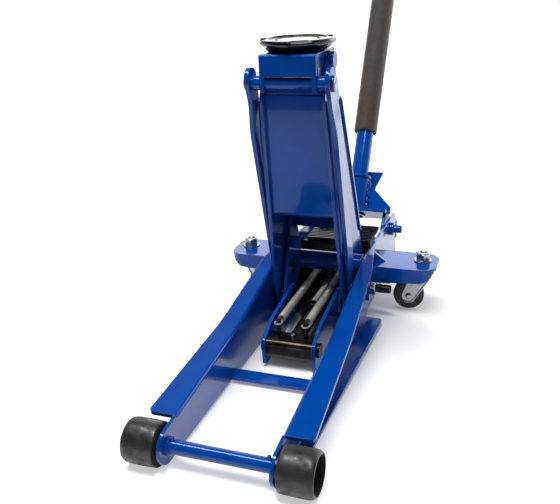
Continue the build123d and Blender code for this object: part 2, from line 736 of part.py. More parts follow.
def hydraulic_block():
    depth = BLOCK_REAR - BLOCK_FRONT
    height = BLOCK_HIGH - BLOCK_LOW
    block = fillet(Box(FRAME_WIDTH, depth, height).edges().filter_by(Axis.X), BLOCK_EDGE_R)
    block = Pos(0, BLOCK_FRONT + depth / 2, BLOCK_LOW + height / 2) * block
    block -= barrel(PLUNGER_R + RUN_FIT, BLOCK_FRONT + BLOCK_EDGE_R, BLOCK_REAR + 1, 0, PLUNGER_Z)
    block -= barrel(VALVE_R + RUN_FIT, BLOCK_REAR - VALVE_L, BLOCK_REAR + 1, 0, VALVE_Z)
    for place in BLOCK_BOLT_PLACES:
        bolt = rod(BLOCK_BOLT_R, HALF - BLOCK_BOLT_HEAD_L, HALF + 1, place)
        block -= bolt + other_side(bolt)
    return block


def pump_barrel():
    tube = barrel(BARREL_R, BLOCK_REAR, BLOCK_REAR + BARREL_L, 0, PLUNGER_Z)
    return tube - barrel(PLUNGER_R + RUN_FIT, BLOCK_REAR - 1, BLOCK_REAR + BARREL_L + 1, 0, PLUNGER_Z)


def unit_cover():
    """The ribbed lid over the pump, with ribs across the jack."""
    depth = COVER_REAR - BLOCK_FRONT
    width = FRAME_WIDTH - 2 * UNIT_COVER_MARGIN
    lid = Pos(0, BLOCK_FRONT + depth / 2, BLOCK_HIGH + UNIT_COVER_T / 2) * Box(width, depth, UNIT_COVER_T)
    pitch = (depth - UNIT_RIB_W) / (UNIT_RIBS - 1)
    for count in range(UNIT_RIBS):
        y = BLOCK_FRONT + UNIT_RIB_W / 2 + pitch * count
        lid += Pos(0, y, BLOCK_HIGH + UNIT_COVER_T + UNIT_RIB_H / 2) * Box(width, UNIT_RIB_W, UNIT_RIB_H)
    return lid


def block_bolts():
    """Black cap screws that hold the hydraulic block between the side plates."""
    web = HALF + PLATE_T
    screws = []
    for place in BLOCK_BOLT_PLACES:
        head = rod(BLOCK_BOLT_HEAD_R, web, web + BLOCK_BOLT_HEAD_L, place)
        head = chamfer(head.edges().sort_by(Axis.X)[-1], BLOCK_BOLT_HEAD_R / 6)
        screws += both_sides(head + rod(BLOCK_BOLT_R, HALF - BLOCK_BOLT_HEAD_L, web, place)).solids()
    return Compound(screws)


def spring_anchor():
    """A bridge on the cylinder with the studs that hold the rear hooks of the springs."""
    height = ANCHOR_TOP - ANCHOR_LOW
    bridge = Pos(0, ANCHOR_Y, ANCHOR_LOW + height / 2) * Box(
        2 * (SPRING_X + ANCHOR_MARGIN), ANCHOR_DEPTH, height)
    bridge -= barrel(CYLINDER_R, ANCHOR_Y - ANCHOR_DEPTH, ANCHOR_Y + ANCHOR_DEPTH, 0, RAM_Z)
    stud = spring_stud(ANCHOR_TOP, ANCHOR_Y)
    return bridge + stud + other_side(stud)


def spring_stud(low, y):
    """An upright stud with a cap that keeps a spring's hook on."""
    top = SPRING_Z + 2 * SPRING_WIRE_R
    return post(POST_R, low, top, SPRING_X, y) + post(POST_CAP_R, top, top + POST_CAP_T, SPRING_X, y)


def spring_stations():
    """Points and directions along the wire: front hook, coil by half turns, rear hook."""
    coil_start = POST_Y + SPRING_HOOK_R + SPRING_NECK
    coil_end = ANCHOR_Y - SPRING_HOOK_R - SPRING_NECK
    pitch = (coil_end - coil_start) / SPRING_TURNS
    climb = atan2(pitch, 2 * pi * SPRING_COIL_R)
    coil = []
    for half_turn in range(2 * SPRING_TURNS + 1):
        turn = pi * half_turn
        along = coil_start + pitch * half_turn / 2
        place = Vector(SPRING_X + SPRING_COIL_R * cos(turn), along, SPRING_Z + SPRING_COIL_R * sin(turn))
        heading = Vector(-sin(turn) * cos(climb), sin(climb), cos(turn) * cos(climb))
        coil.append((place, heading))
    front = hook_stations(POST_Y, 1)
    rear = hook_stations(ANCHOR_Y, -1)
    return front[::-1] + coil + [(place, heading * -1) for place, heading in rear]


def hook_stations(centre, side):
    """A loop round an upright stud, from beside the coil to three quarters of the way round."""
    stations = []
    for quarter in range(4):
        turn = pi / 2 * quarter
        along = centre - side * SPRING_HOOK_R * sin(turn)
        place = Vector(SPRING_X + SPRING_HOOK_R * cos(turn), along, SPRING_Z)
        heading = Vector(sin(turn), side * cos(turn), 0)
        stations.append((place, heading))
    return stations


def biarc(start, heading, end, leaving):
    """Two arcs that join at a shared direction, from start to end."""
    span = end - start
    total = heading + leaving
    square = 2 * (1 - heading.dot(leaving))
    slope = 2 * span.dot(total)
    reach = span.dot(span) / slope
    if square > 1e-9:
        reach = (sqrt(slope * slope + 4 * square * span.dot(span)) - slope) / (2 * square)
    near = start + heading * reach
    far = end - leaving * reach
    middle = (near + far) * 0.5
    return [
        Edge.make_tangent_arc(start, heading, middle),
        Edge.make_tangent_arc(middle, far - near, end)]


def return_spring():
    stations = spring_stations()
    arcs = []
    for (start, heading), (end, leaving) in zip(stations, stations[1:]):
        arcs += biarc(start, heading, end, leaving)
    path = Wire(arcs)
    wire = Plane(origin=path @ 0, z_dir=path % 0) * RegularPolygon(SPRING_WIRE_R, 6)
    return sweep(wire, path, clean=False), arcs


def spring_self_gap(arcs):
    """The least clear distance between stretches of the wire that aren't neighbours."""
    points = [(index, arc @ share) for index, arc in enumerate(arcs) for share in (0.0, 0.33, 0.67)]
    apart = [
        (a - b).length for n, (i, a) in enumerate(points) for j, b in points[n + 1:n + 60] if j - i > 2]
    return min(apart) - 2 * SPRING_WIRE_R


# Casters

def caster_bracket():
    """A pressed shelf on the side plate: top with a round end, apron in front, ear and gusset."""
    web = HALF + PLATE_T
    tip = web + CASTER_BRACKET_REACH
    depth = CASTER_BRACKET_REAR - CASTER_BRACKET_FRONT
    shelf = Pos(web + CASTER_BRACKET_REACH / 2, CASTER_BRACKET_FRONT + depth / 2) * Rectangle(
        CASTER_BRACKET_REACH, depth)
    shelf = fillet(shelf.vertices().sort_by(Axis.X)[-2:], CASTER_BRACKET_END_R)
    shelf = Pos(0, 0, CASTER_UNDER) * extrude(shelf, BRACKET_PLATE_T)
    apron_end = tip - CASTER_BRACKET_END_R
    apron = Polygon(
        (web, CASTER_UNDER), (apron_end, CASTER_UNDER), (apron_end, CASTER_UNDER - BRACKET_APRON_TIP),
        (web, CASTER_UNDER - BRACKET_APRON), align=None)
    apron = Pos(0, CASTER_BRACKET_FRONT, 0) * extrude(Plane.XZ * apron, BRACKET_PLATE_T, dir=(0, 1, 0))
    gusset = Polygon(
        (web, CASTER_BRACKET_TOP), (web + GUSSET_REACH, CASTER_BRACKET_TOP),
        (web, CASTER_BRACKET_TOP + GUSSET_H), align=None)
    gusset = Pos(0, GUSSET_Y, 0) * extrude(Plane.XZ * gusset, GUSSET_T, dir=(0, 1, 0))
    ear = Polygon(
        (EAR_FRONT, CASTER_BRACKET_TOP), (EAR_FRONT, CASTER_BRACKET_TOP - EAR_DROP),
        (CASTER_BRACKET_FRONT + BRACKET_PLATE_T, CASTER_BRACKET_TOP - EAR_DROP),
        (CASTER_BRACKET_REAR, CASTER_UNDER - BRACKET_PLATE_T), (CASTER_BRACKET_REAR, CASTER_BRACKET_TOP),
        align=None)
    ear = fillet(ear.vertices().sort_by(Axis.X)[:2], FLANGE_CORNER_R)
    bracket = shelf + apron + gusset + slab(ear, web, web + BRACKET_PLATE_T)
    bracket -= rod(FRAME_BOLT_R, 0, 2 * HALF, ear_bolt_place())
    return bracket - post(CASTER_STEM_R, 0, 2 * CASTER_BRACKET_TOP, CASTER_X, CASTER_Y)


def caster_stem():
    """The king bolt with its nut and washer above the shelf and the fixed race below it."""
    washer = post(FLAT_WASHER_R, CASTER_BRACKET_TOP, CASTER_BRACKET_TOP + FLAT_WASHER_T, CASTER_X, CASTER_Y)
    nut_low = CASTER_BRACKET_TOP + FLAT_WASHER_T
    nut = Pos(CASTER_X, CASTER_Y, nut_low) * extrude(RegularPolygon(NUT_R, 6), NUT_H)
    race = post(CASTER_RACE_R, CASTER_UNDER - CASTER_RACE_T, CASTER_UNDER, CASTER_X, CASTER_Y)
    bolt = post(CASTER_STEM_R, caster_head_low() - CASTER_RIVET_T, nut_low + NUT_H + 2, CASTER_X, CASTER_Y)
    rivet_top = caster_head_low() - SIDE_GAP
    rivet = post(CASTER_STEM_R + 3, rivet_top - CASTER_RIVET_T, rivet_top, CASTER_X, CASTER_Y)
    return washer + nut + race + bolt + rivet


def caster_head_top():
    return CASTER_UNDER - CASTER_RACE_T - SIDE_GAP


def caster_head_low():
    return caster_head_top() - CASTER_FORK_T


def caster_frame():
    """Where the fork swivels: its local +X points the way the wheel trails."""
    return Pos(CASTER_X, CASTER_Y, 0) * Rot(0, 0, CASTER_SWIVEL)


def caster_fork():
    """A pressed fork: round head, two cheeks hulled down to the axle, and the riveted axle."""
    inner = CASTER_WHEEL_W / 2 + CASTER_FORK_GAP
    head = post(CASTER_HEAD_R, caster_head_low(), caster_head_top(), 0, 0)
    skirt = post(CASTER_HEAD_R, caster_head_top() - CASTER_HEAD_H, caster_head_top(), 0, 0)
    hollow = CASTER_HEAD_R - CASTER_FORK_T
    skirt -= post(hollow, caster_head_top() - CASTER_HEAD_H - 1, caster_head_low(), 0, 0)
    cheek = make_hull([
        *(Pos(CASTER_TRAIL, CASTER_WHEEL_R) * Circle(3 * CASTER_AXLE_R)).edges(),
        *(Pos(0, caster_head_low() - CASTER_HEAD_H / 2) * Rectangle(
            1.5 * CASTER_HEAD_R, CASTER_HEAD_H)).edges()])
    cheek = Pos(0, -inner, 0) * extrude(Plane.XZ * cheek, CASTER_FORK_T, dir=(0, -1, 0))
    cheeks = cheek + mirror(cheek, about=Plane.XZ)
    axle = Pos(CASTER_TRAIL, 0, CASTER_WHEEL_R) * Rot(90, 0, 0) * Cylinder(
        CASTER_AXLE_R, 2 * (inner + CASTER_FORK_T + 1.5))
    fork = head + skirt + cheeks + axle
    fork -= post(CASTER_STEM_R + RUN_FIT, 0, CASTER_BRACKET_TOP, 0, 0)
    return caster_frame() * fork


def caster_wheel():
    section = make_face(FilletPolyline(
        (-CASTER_WHEEL_W / 2, CASTER_AXLE_R + RUN_FIT), (-CASTER_WHEEL_W / 2, CASTER_WHEEL_R),
        (CASTER_WHEEL_W / 2, CASTER_WHEEL_R), (CASTER_WHEEL_W / 2, CASTER_AXLE_R + RUN_FIT),
        radius=[0, CASTER_TYRE_EDGE_R, CASTER_TYRE_EDGE_R, 0], close=True).edges())
    roller = revolve(Plane.XZ * section, Axis.X)
    return caster_frame() * Pos(CASTER_TRAIL, 0, CASTER_WHEEL_R) * Rot(0, 0, 90) * roller


# Handle end

def handle_yoke():
    """Ears, base plate, socket tube, side gussets and a back plate welded into one piece."""
    ear = make_hull([
        *Circle(YOKE_EAR_R).edges(),
        *(Pos(0, -ROLLER_DROP) * Circle(ROLLER_R + 5)).edges(),
        *(Pos((YOKE_BASE_FRONT + YOKE_BASE_REAR) / 2, YOKE_BASE_LOW / 2) * Rectangle(
            2 * YOKE_EAR_R, YOKE_BASE_LOW)).edges()])
    ear = slab(ear, YOKE_HALF - YOKE_EAR_T, YOKE_HALF)
    base = Pos(0, (YOKE_BASE_FRONT + YOKE_BASE_REAR) / 2, YOKE_BASE_LOW + YOKE_BASE_T / 2) * Box(
        2 * YOKE_HALF, YOKE_BASE_REAR - YOKE_BASE_FRONT, YOKE_BASE_T)
    gusset = Polygon(
        (-YOKE_GUSSET_HALF, YOKE_GUSSET_LOW), (YOKE_GUSSET_HALF, YOKE_GUSSET_LOW),
        (YOKE_GUSSET_HALF, YOKE_GUSSET_SHOULDER), (SOCKET_R, YOKE_GUSSET_TOP), (-SOCKET_R, YOKE_GUSSET_TOP),
        (-YOKE_GUSSET_HALF, YOKE_GUSSET_SHOULDER), align=None)
    gusset = Pos(0, SOCKET_V, 0) * extrude(Plane.XZ * gusset, YOKE_GUSSET_T / 2, both=True)
    back = Polygon(
        (-YOKE_BACK_HALF_LOW, YOKE_BACK_LOW), (YOKE_BACK_HALF_LOW, YOKE_BACK_LOW),
        (YOKE_BACK_HALF_TOP, YOKE_BACK_TOP), (-YOKE_BACK_HALF_TOP, YOKE_BACK_TOP), align=None)
    back = extrude(Plane.XZ * back, YOKE_BACK_T, dir=(0, -1, 0))
    back = Pos(0, SOCKET_V + SOCKET_R + YOKE_BACK_T - 1, 0) * back
    socket = post(SOCKET_R, SOCKET_START, SOCKET_END, 0, SOCKET_V)
    socket += post(SOCKET_RIM_R, SOCKET_END - SOCKET_RIM, SOCKET_END, 0, SOCKET_V)
    yoke = base + gusset + back + socket + ear + other_side(ear)
    yoke -= post(HANDLE_R + RUN_FIT, SOCKET_START - 1, SOCKET_END + 1, 0, SOCKET_V)
    yoke -= rod(YOKE_BOLT_R + RUN_FIT, -HALF, HALF, (0, 0))
    yoke -= rod(ROLLER_R, -YOKE_HALF + YOKE_EAR_T / 2, YOKE_HALF - YOKE_EAR_T / 2, (0, -ROLLER_DROP))
    return YOKE_FRAME * yoke


def pump_roller():
    reach = YOKE_HALF - YOKE_EAR_T / 2
    return YOKE_FRAME * rod(ROLLER_R, -reach, reach, (0, -ROLLER_DROP))


def yoke_pivot_bolts():
    web = HALF + PLATE_T
    bolt = rod(YOKE_BOLT_R, YOKE_HALF - YOKE_EAR_T, web, YOKE_PIVOT)
    head = rod(YOKE_BOLT_HEAD_R, web, web + YOKE_BOLT_HEAD_T / 3, YOKE_PIVOT)
    stem = rod(YOKE_BOLT_R, web, web + YOKE_BOLT_HEAD_T, YOKE_PIVOT)
    stem = chamfer(stem.edges().sort_by(Axis.X)[-1], YOKE_BOLT_R / 5)
    return both_sides(bolt + head + stem)


def handle_tube():
    tube = Cylinder(HANDLE_R, HANDLE_L) - Cylinder(HANDLE_R - HANDLE_WALL, HANDLE_L + 2)
    return SOCKET_FRAME * Pos(0, 0, HANDLE_FOOT + HANDLE_L / 2) * tube


def foam_sleeve():
    sleeve = fillet(Cylinder(FOAM_R, FOAM_L).edges().filter_by(GeomType.CIRCLE), 2)
    sleeve -= Cylinder(HANDLE_R, FOAM_L + 2)
    return SOCKET_FRAME * Pos(0, 0, FOAM_START + FOAM_L / 2) * sleeve


def handle_grip():
    top = HANDLE_FOOT + HANDLE_L
    grip = Cylinder(GRIP_R, GRIP_L + GRIP_CAP_T)
    grip = fillet(grip.edges().sort_by(Axis.Z)[-1], GRIP_CAP_T)
    grip = Pos(0, 0, top - GRIP_L + (GRIP_L + GRIP_CAP_T) / 2) * grip
    return SOCKET_FRAME * (grip - post(HANDLE_R, top - GRIP_L - 1, top, 0, 0))


def plunger_head_rear():
    """How far back the pump plunger reaches: just short of the roller at rest."""
    return YOKE_PIVOT[0] - ROLLER_DROP * sin(radians(HANDLE_LEAN)) - ROLLER_R - PLUNGER_REST_GAP


def pump_plunger():
    rear = plunger_head_rear()
    head = barrel(PLUNGER_HEAD_R, rear - PLUNGER_HEAD_T, rear, 0, PLUNGER_Z)
    inner_end = BLOCK_FRONT + BLOCK_EDGE_R + PLUNGER_STROKE
    return head + barrel(PLUNGER_R, inner_end, rear - PLUNGER_HEAD_T, 0, PLUNGER_Z)


def release_valve():
    stem = barrel(VALVE_R, BLOCK_REAR - VALVE_L + 2, BLOCK_REAR, 0, VALVE_Z)
    knob = barrel(VALVE_KNOB_R, BLOCK_REAR + SIDE_GAP, BLOCK_REAR + VALVE_FORK_L, 0, VALVE_Z)
    stem += barrel(VALVE_R, BLOCK_REAR, BLOCK_REAR + SIDE_GAP, 0, VALVE_Z)
    slot = Pos(0, BLOCK_REAR + VALVE_FORK_L, VALVE_Z) * Box(VALVE_R, VALVE_FORK_L, 3 * VALVE_KNOB_R)
    return stem + knob - slot


spring_right, spring_arcs = return_spring()
right = {
    "side_plate": side_plate(), "front_wheel": front_wheel(), "arm_plate": ARM_FRAME * arm_plate(),
    "crank_cheek": ARM_FRAME * crank_cheek(), "link": link(), "pull_link": pull_link(),
    "return_spring": spring_right, "caster_bracket": caster_bracket(), "caster_stem": caster_stem(),
    "caster_fork": caster_fork(), "caster_wheel": caster_wheel()}
middle = {
    "front_tie_bar": front_tie_bar(), "front_axle": front_axle(), "axle_washers": axle_washers(),
    "axle_retainers": axle_retainers(), "main_shaft": main_shaft(), "shaft_collars": shaft_collars(),
    "link_pivot_bolts": link_pivot_bolts(), "frame_bolts": frame_bolts(), "frame_nuts": frame_nuts(),
    "arm_cover": ARM_FRAME * arm_cover(), "arm_back_plate": ARM_FRAME * arm_back_plate(),
    "pivot_tube": ARM_FRAME * pivot_tube(), "crank_pins": ARM_FRAME * crank_pins(),
    "head_bolts": ARM_FRAME * head_bolts(), "link_pin": link_pin(), "link_pin_nuts": link_pin_nuts(),
    "link_spacers": link_spacers(), "saddle_bracket": saddle_bracket(), "saddle": saddle(),
    "crosshead": crosshead(), "ram_rod": ram_rod(), "crosshead_pin": crosshead_pin(),
    "spring_posts": spring_posts(), "ram_cylinder": ram_cylinder(), "cylinder_gland": cylinder_gland(),
    "hydraulic_block": hydraulic_block(), "pump_barrel": pump_barrel(), "unit_cover": unit_cover(),
    "block_bolts": block_bolts(), "spring_anchor": spring_anchor(), "handle_yoke": handle_yoke(),
    "pump_roller": pump_roller(), "yoke_pivot_bolts": yoke_pivot_bolts(), "handle_tube": handle_tube(),
    "foam_sleeve": foam_sleeve(), "handle_grip": handle_grip(), "pump_plunger": pump_plunger(),
    "release_valve": release_valve()}
pieces = dict(middle)
for name, piece in right.items():
    pieces[f"{name}_right"] = piece
    pieces[f"{name}_left"] = other_side(piece)

box = Compound([solid for piece in pieces.values() for solid in piece.solids()]).bounding_box()
middle_y = (box.min.Y + box.max.Y) / 2
os.makedirs("parts", exist_ok=True)
for name, piece in pieces.items():
    export_step(Pos(0, -middle_y, 0) * piece, f"parts/{name}.step")

print(f"{len(pieces)} pieces, overall {box.size.X:.1f} x {box.size.Y:.1f} x {box.size.Z:.1f}")
print(f"lowest point {box.min.Z:.2f}")
print(f"front axle lies at y = {-middle_y:.3f}")
print(f"arm lean {ARM_LEAN:.3f}, ram stroke {RAM_STROKE:.3f}, crank sag {CRANK_SAG:.3f}")
print(f"spring gap to itself {spring_self_gap(spring_arcs):.2f}")
print(f"spring volume {spring_right.volume:.1f}")
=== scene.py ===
# %% [markdown]
# # A hydraulic trolley jack
# This lesson dresses a finished CAD model of a trolley jack: pressed steel plates in glossy blue enamel,
# black rollers, bare steel springs and a foam-covered handle. The CAD parts are already in place, so each
# step only adds a finish or a finer piece. Some of these pieces take the place of a plain one.

# %% Load the frame
import json
import math
import random

import bmesh
import bpy
from mathutils import Matrix, Vector, geometry


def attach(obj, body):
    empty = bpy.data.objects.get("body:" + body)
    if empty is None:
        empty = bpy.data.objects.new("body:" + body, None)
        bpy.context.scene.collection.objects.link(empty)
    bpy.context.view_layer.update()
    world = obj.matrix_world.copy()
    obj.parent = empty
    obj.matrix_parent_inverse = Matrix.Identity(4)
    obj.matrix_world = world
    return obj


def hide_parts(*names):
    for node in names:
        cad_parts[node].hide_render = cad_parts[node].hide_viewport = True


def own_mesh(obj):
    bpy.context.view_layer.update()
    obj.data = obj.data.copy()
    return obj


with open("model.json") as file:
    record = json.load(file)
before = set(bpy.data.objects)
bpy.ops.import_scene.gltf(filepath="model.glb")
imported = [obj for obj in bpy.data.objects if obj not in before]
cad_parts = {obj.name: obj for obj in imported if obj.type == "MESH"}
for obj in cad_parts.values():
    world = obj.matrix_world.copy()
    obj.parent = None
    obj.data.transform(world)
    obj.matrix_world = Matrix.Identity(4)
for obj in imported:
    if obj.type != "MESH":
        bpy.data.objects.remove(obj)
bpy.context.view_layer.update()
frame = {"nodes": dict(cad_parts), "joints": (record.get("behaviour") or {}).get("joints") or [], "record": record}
joints = {joint["name"]: joint for joint in frame["joints"]}
# The front axle's place is the origin of all lengthwise sizes below.
AXLE_Y = joints["front_wheel_right_spin"]["pos_m"][1]
print("loaded", len(frame["nodes"]), "nodes; front axle at y", round(AXLE_Y, 4))

# %% [markdown]
# ## Camera
# The picture was taken from a little above the saddle, in front of the right roller, with a normal lens.
# The camera's place was found by matching known points of the jack, such as the roller rims and the flange
# corners, so it is given as a place, three angles and a focal length in pixels of a picture 560 wide.

# %% Camera
PICTURE_WIDTH = 560
FOCAL_PIXELS = 715.06
CAMERA_PLACE = Vector((0.34832, AXLE_Y - 0.66918, 0.61423))
YAW, PITCH, ROLL = (math.radians(angle) for angle in (20.72, -22.22, -2.94))


def camera_turn():
    """The camera's axes as a rotation: X to the picture's right, Y up, Z back towards the viewer."""
    ahead = Vector((-math.sin(YAW) * math.cos(PITCH), math.cos(YAW) * math.cos(PITCH), math.sin(PITCH)))
    level = Vector((math.cos(YAW), math.sin(YAW), 0))
    upright = level.cross(ahead)
    right = level * math.cos(ROLL) + upright * math.sin(ROLL)
    up = upright * math.cos(ROLL) - level * math.sin(ROLL)
    return Matrix((right, up, -ahead)).transposed()


eye = bpy.data.cameras.new("camera")
eye.sensor_fit = "HORIZONTAL"
eye.sensor_width = 36
eye.lens = FOCAL_PIXELS / PICTURE_WIDTH * eye.sensor_width
camera = bpy.data.objects.new("camera", eye)
camera.matrix_world = Matrix.Translation(CAMERA_PLACE) @ camera_turn().to_4x4()
bpy.context.collection.objects.link(camera)
bpy.context.scene.camera = camera
bpy.context.scene.view_settings.view_transform = "Standard"
print("camera lens", round(eye.lens, 2), "mm")

# %% [markdown]
# ## Tools for materials
# Every finish is drawn with nodes. One helper turns a colour as a paint chart gives it into the linear
# values that Blender mixes, and one adds a node: an input that is given a socket is linked, any other value
# is set. Sheet metal never ends in a knife edge, so most finishes also ask for a softened normal along the
# edges, which catches the thin line of light that every bend and rim shows.

# %% Tools for materials
MM = 0.001
# The finished materials, by the name of the slot that wears them.
FINISHES = {}


def srgb(code):
    """A hex colour as linear red, green, blue and alpha."""
    parts = [int(code[i:i + 2], 16) / 255 for i in (1, 3, 5)]
    return (*(p / 12.92 if p <= 0.04045 else ((p + 0.055) / 1.055) ** 2.4 for p in parts), 1)


def add(tree, kind, inputs=(), **settings):
    made = tree.nodes.new(kind)
    for name, value in settings.items():
        setattr(made, name, value)
    for name, value in dict(inputs).items():
        if isinstance(value, bpy.types.NodeSocket):
            tree.links.new(value, made.inputs[name])
        else:
            made.inputs[name].default_value = value
    return made


def start(name, **fixed):
    """A new material with its node tree, its shader and the object's own coordinates.

    The fixed values go straight to the shader's sockets, with underscores for spaces."""
    material = bpy.data.materials.new(name)
    material.use_nodes = True
    tree = material.node_tree
    shader = tree.nodes["Principled BSDF"]
    for socket, value in fixed.items():
        shader.inputs[socket.replace("_", " ")].default_value = value
    place = add(tree, "ShaderNodeTexCoord").outputs["Object"]
    return material, tree, shader, place


def per_metre(size_mm):
    """The texture scale that gives a pattern of this size."""
    return 1 / (size_mm * MM)


def blend_colours(tree, shader, share, dark, light, low=0.3, high=0.7):
    """Base colour that drifts between two tones as share goes from low to high."""
    ramp = add(tree, "ShaderNodeValToRGB", {"Fac": share})
    for end, code, position in zip(ramp.color_ramp.elements, (dark, light), (low, high)):
        end.color = srgb(code)
        end.position = position
    tree.links.new(ramp.outputs["Color"], shader.inputs["Base Color"])


def relief(tree, shader, height, strength, depth_mm, edge_mm):
    """Bumps of a given depth over edges that are rounded in their shading."""
    edge = add(tree, "ShaderNodeBevel", {"Radius": edge_mm * MM}, samples=6)
    bump = add(tree, "ShaderNodeBump", {
        "Height": height, "Strength": strength, "Distance": depth_mm * MM,
        "Normal": edge.outputs["Normal"]})
    tree.links.new(bump.outputs["Normal"], shader.inputs["Normal"])


print("a paint chart's middle grey is", round(srgb("#808080")[0], 3), "in linear light")

# %% [markdown]
# ## Blue enamel
# Sprayed and baked enamel on pressed steel, under a clear lacquer. The lacquer mirrors the studio sharply.
# The enamel below it mirrors it softly and tinted, with a faint orange peel of a few millimetres. The
# colour drifts a little where the enamel is thicker, and a haze of fine dust dulls its gloss here and there.

# %% Blue enamel


def blue_enamel():
    material, tree, shader, place = start(
        "blue_enamel", IOR=1.5, Specular_Tint=srgb("#6C9BE8"), Coat_Weight=0.35, Coat_Roughness=0.04)
    drift = add(tree, "ShaderNodeTexNoise", {"Vector": place, "Scale": per_metre(80), "Detail": 3})
    blend_colours(tree, shader, drift.outputs["Fac"], "#003E92", "#01479F")
    haze = add(tree, "ShaderNodeTexNoise", {"Vector": place, "Scale": per_metre(25), "Detail": 4})
    gloss = add(tree, "ShaderNodeMapRange", {"Value": haze.outputs["Fac"], "To Min": 0.1, "To Max": 0.22})
    tree.links.new(gloss.outputs["Result"], shader.inputs["Roughness"])
    peel = add(tree, "ShaderNodeTexNoise", {"Vector": place, "Scale": per_metre(6), "Detail": 1})
    relief(tree, shader, peel.outputs["Fac"], strength=0.04, depth_mm=0.4, edge_mm=2.2)
    return material


FINISHES["blue_paint"] = blue_enamel()
print("finishes so far:", ", ".join(FINISHES))

# %% [markdown]
# ## Black finishes
# The saddle and the hydraulic unit are dipped in gloss black paint, which runs and gathers, so it is lumpy
# at a few millimetres. The rollers are nylon turned on a lathe: satin, with soft rings left by the tool.
# Inside the cup and on the inner face they are dull, and painted near black as shade. The caster wheels
# are moulded, and duller.

# %% Black finishes


def gloss_black_paint():
    material, tree, shader, place = start("gloss_black_paint", Base_Color=srgb("#121214"), Roughness=0.13)
    lumps = add(tree, "ShaderNodeTexNoise", {"Vector": place, "Scale": per_metre(5), "Detail": 2})
    relief(tree, shader, lumps.outputs["Fac"], strength=0.06, depth_mm=0.4, edge_mm=1.0)
    return material


WHEEL_Z = joints["front_wheel_right_spin"]["pos_m"][2]
CUP_R = 25.2 * MM
INNER_FACE = 84.4 * MM
# Over this width the lit, turned finish gives way to the dull, painted shade of the cup and the inner face.
FADE = 1 * MM
# A wave texture repeats every 2 pi / 20 of its own units.
WAVE_REPEAT = 2 * math.pi / 20
RING_SPACING = 9.425


def turned_nylon():
    material, tree, shader, place = start("turned_nylon")
    blotch = add(tree, "ShaderNodeTexNoise", {"Vector": place, "Scale": per_metre(12), "Detail": 5})
    hub = add(tree, "ShaderNodeVectorMath", {0: place, 1: (0, AXLE_Y, WHEEL_Z)}, operation="SUBTRACT")
    spoke = add(tree, "ShaderNodeVectorMath", {0: hub.outputs["Vector"], 1: (0, 1, 1)},
                operation="MULTIPLY")
    radius = add(tree, "ShaderNodeVectorMath", {0: spoke.outputs["Vector"]}, operation="LENGTH")
    # Painted shade: the cup and the inner face are darkened to near black. The tread mask is one outside the cup,
    # the second mask is one outside the inner face.
    tread = add(tree, "ShaderNodeMapRange", {
        "Value": radius.outputs["Value"], "From Min": CUP_R, "From Max": CUP_R + FADE, "To Min": 0})
    across = add(tree, "ShaderNodeSeparateXYZ", {"Vector": place})
    outwards = add(tree, "ShaderNodeMath", {0: across.outputs["X"]}, operation="ABSOLUTE")
    clear_of_face_shade = add(tree, "ShaderNodeMapRange", {
        "Value": outwards.outputs[0], "From Min": INNER_FACE, "From Max": INNER_FACE + FADE})
    clear_of_painted_shade = add(tree, "ShaderNodeMath", {0: tread.outputs[0], 1: clear_of_face_shade.outputs[0]},
                   operation="MULTIPLY")
    shade = add(tree, "ShaderNodeMath", {0: blotch.outputs["Fac"], 1: clear_of_painted_shade.outputs[0]},
                operation="MULTIPLY")
    # Near black where the masks are nought, which is painted shade; random blotches elsewhere.
    blend_colours(tree, shader, shade.outputs[0], "#040404", "#272726", low=0, high=0.6)
    gloss = add(tree, "ShaderNodeMapRange", {
        "Value": shade.outputs[0], "From Min": 0.1, "From Max": 0.7, "To Min": 0.9, "To Max": 0.2})
    tree.links.new(gloss.outputs["Result"], shader.inputs["Roughness"])
    # The tool's own rings are finer than this, and wouldn't show at the camera's distance.
    rings = add(tree, "ShaderNodeTexWave", {
        "Vector": place, "Scale": per_metre(RING_SPACING) * WAVE_REPEAT, "Distortion": 1.5},
        bands_direction="X")
    relief(tree, shader, rings.outputs["Fac"], strength=0.08, depth_mm=0.1, edge_mm=1.2)
    return material


def moulded_wheel():
    material, tree, shader, place = start("moulded_wheel", Base_Color=srgb("#161615"))
    grain = add(tree, "ShaderNodeTexNoise", {"Vector": place, "Scale": per_metre(2), "Detail": 4})
    gloss = add(tree, "ShaderNodeMapRange", {"Value": grain.outputs["Fac"], "To Min": 0.4, "To Max": 0.6})
    tree.links.new(gloss.outputs["Result"], shader.inputs["Roughness"])
    relief(tree, shader, grain.outputs["Fac"], strength=0.15, depth_mm=0.2, edge_mm=1.0)
    return material


FINISHES["black_paint"] = gloss_black_paint()
FINISHES["black_wheel"] = turned_nylon()
FINISHES["caster_tread"] = moulded_wheel()
print("finishes so far:", ", ".join(FINISHES))

# %% [markdown]
# ## Bare and plated metal
# Bright zinc on nuts and caster forks, a little cloudy from the bath; machined steel, darkened with oil, on
# the pins and the crosshead; drawn wire on the springs; and a brownish oily film over the ground finish of
# the ram.

# %% Bare and plated metal


def zinc_plate():
    material, tree, shader, place = start("zinc_plate", Metallic=1)
    cloud = add(tree, "ShaderNodeTexNoise", {"Vector": place, "Scale": per_metre(4), "Detail": 4})
    blend_colours(tree, shader, cloud.outputs["Fac"], "#989C9F", "#B9BBBC")
    gloss = add(tree, "ShaderNodeMapRange", {"Value": cloud.outputs["Fac"], "To Min": 0.2, "To Max": 0.4})
    tree.links.new(gloss.outputs["Result"], shader.inputs["Roughness"])
    relief(tree, shader, cloud.outputs["Fac"], strength=0.05, depth_mm=0.2, edge_mm=0.8)
    return material


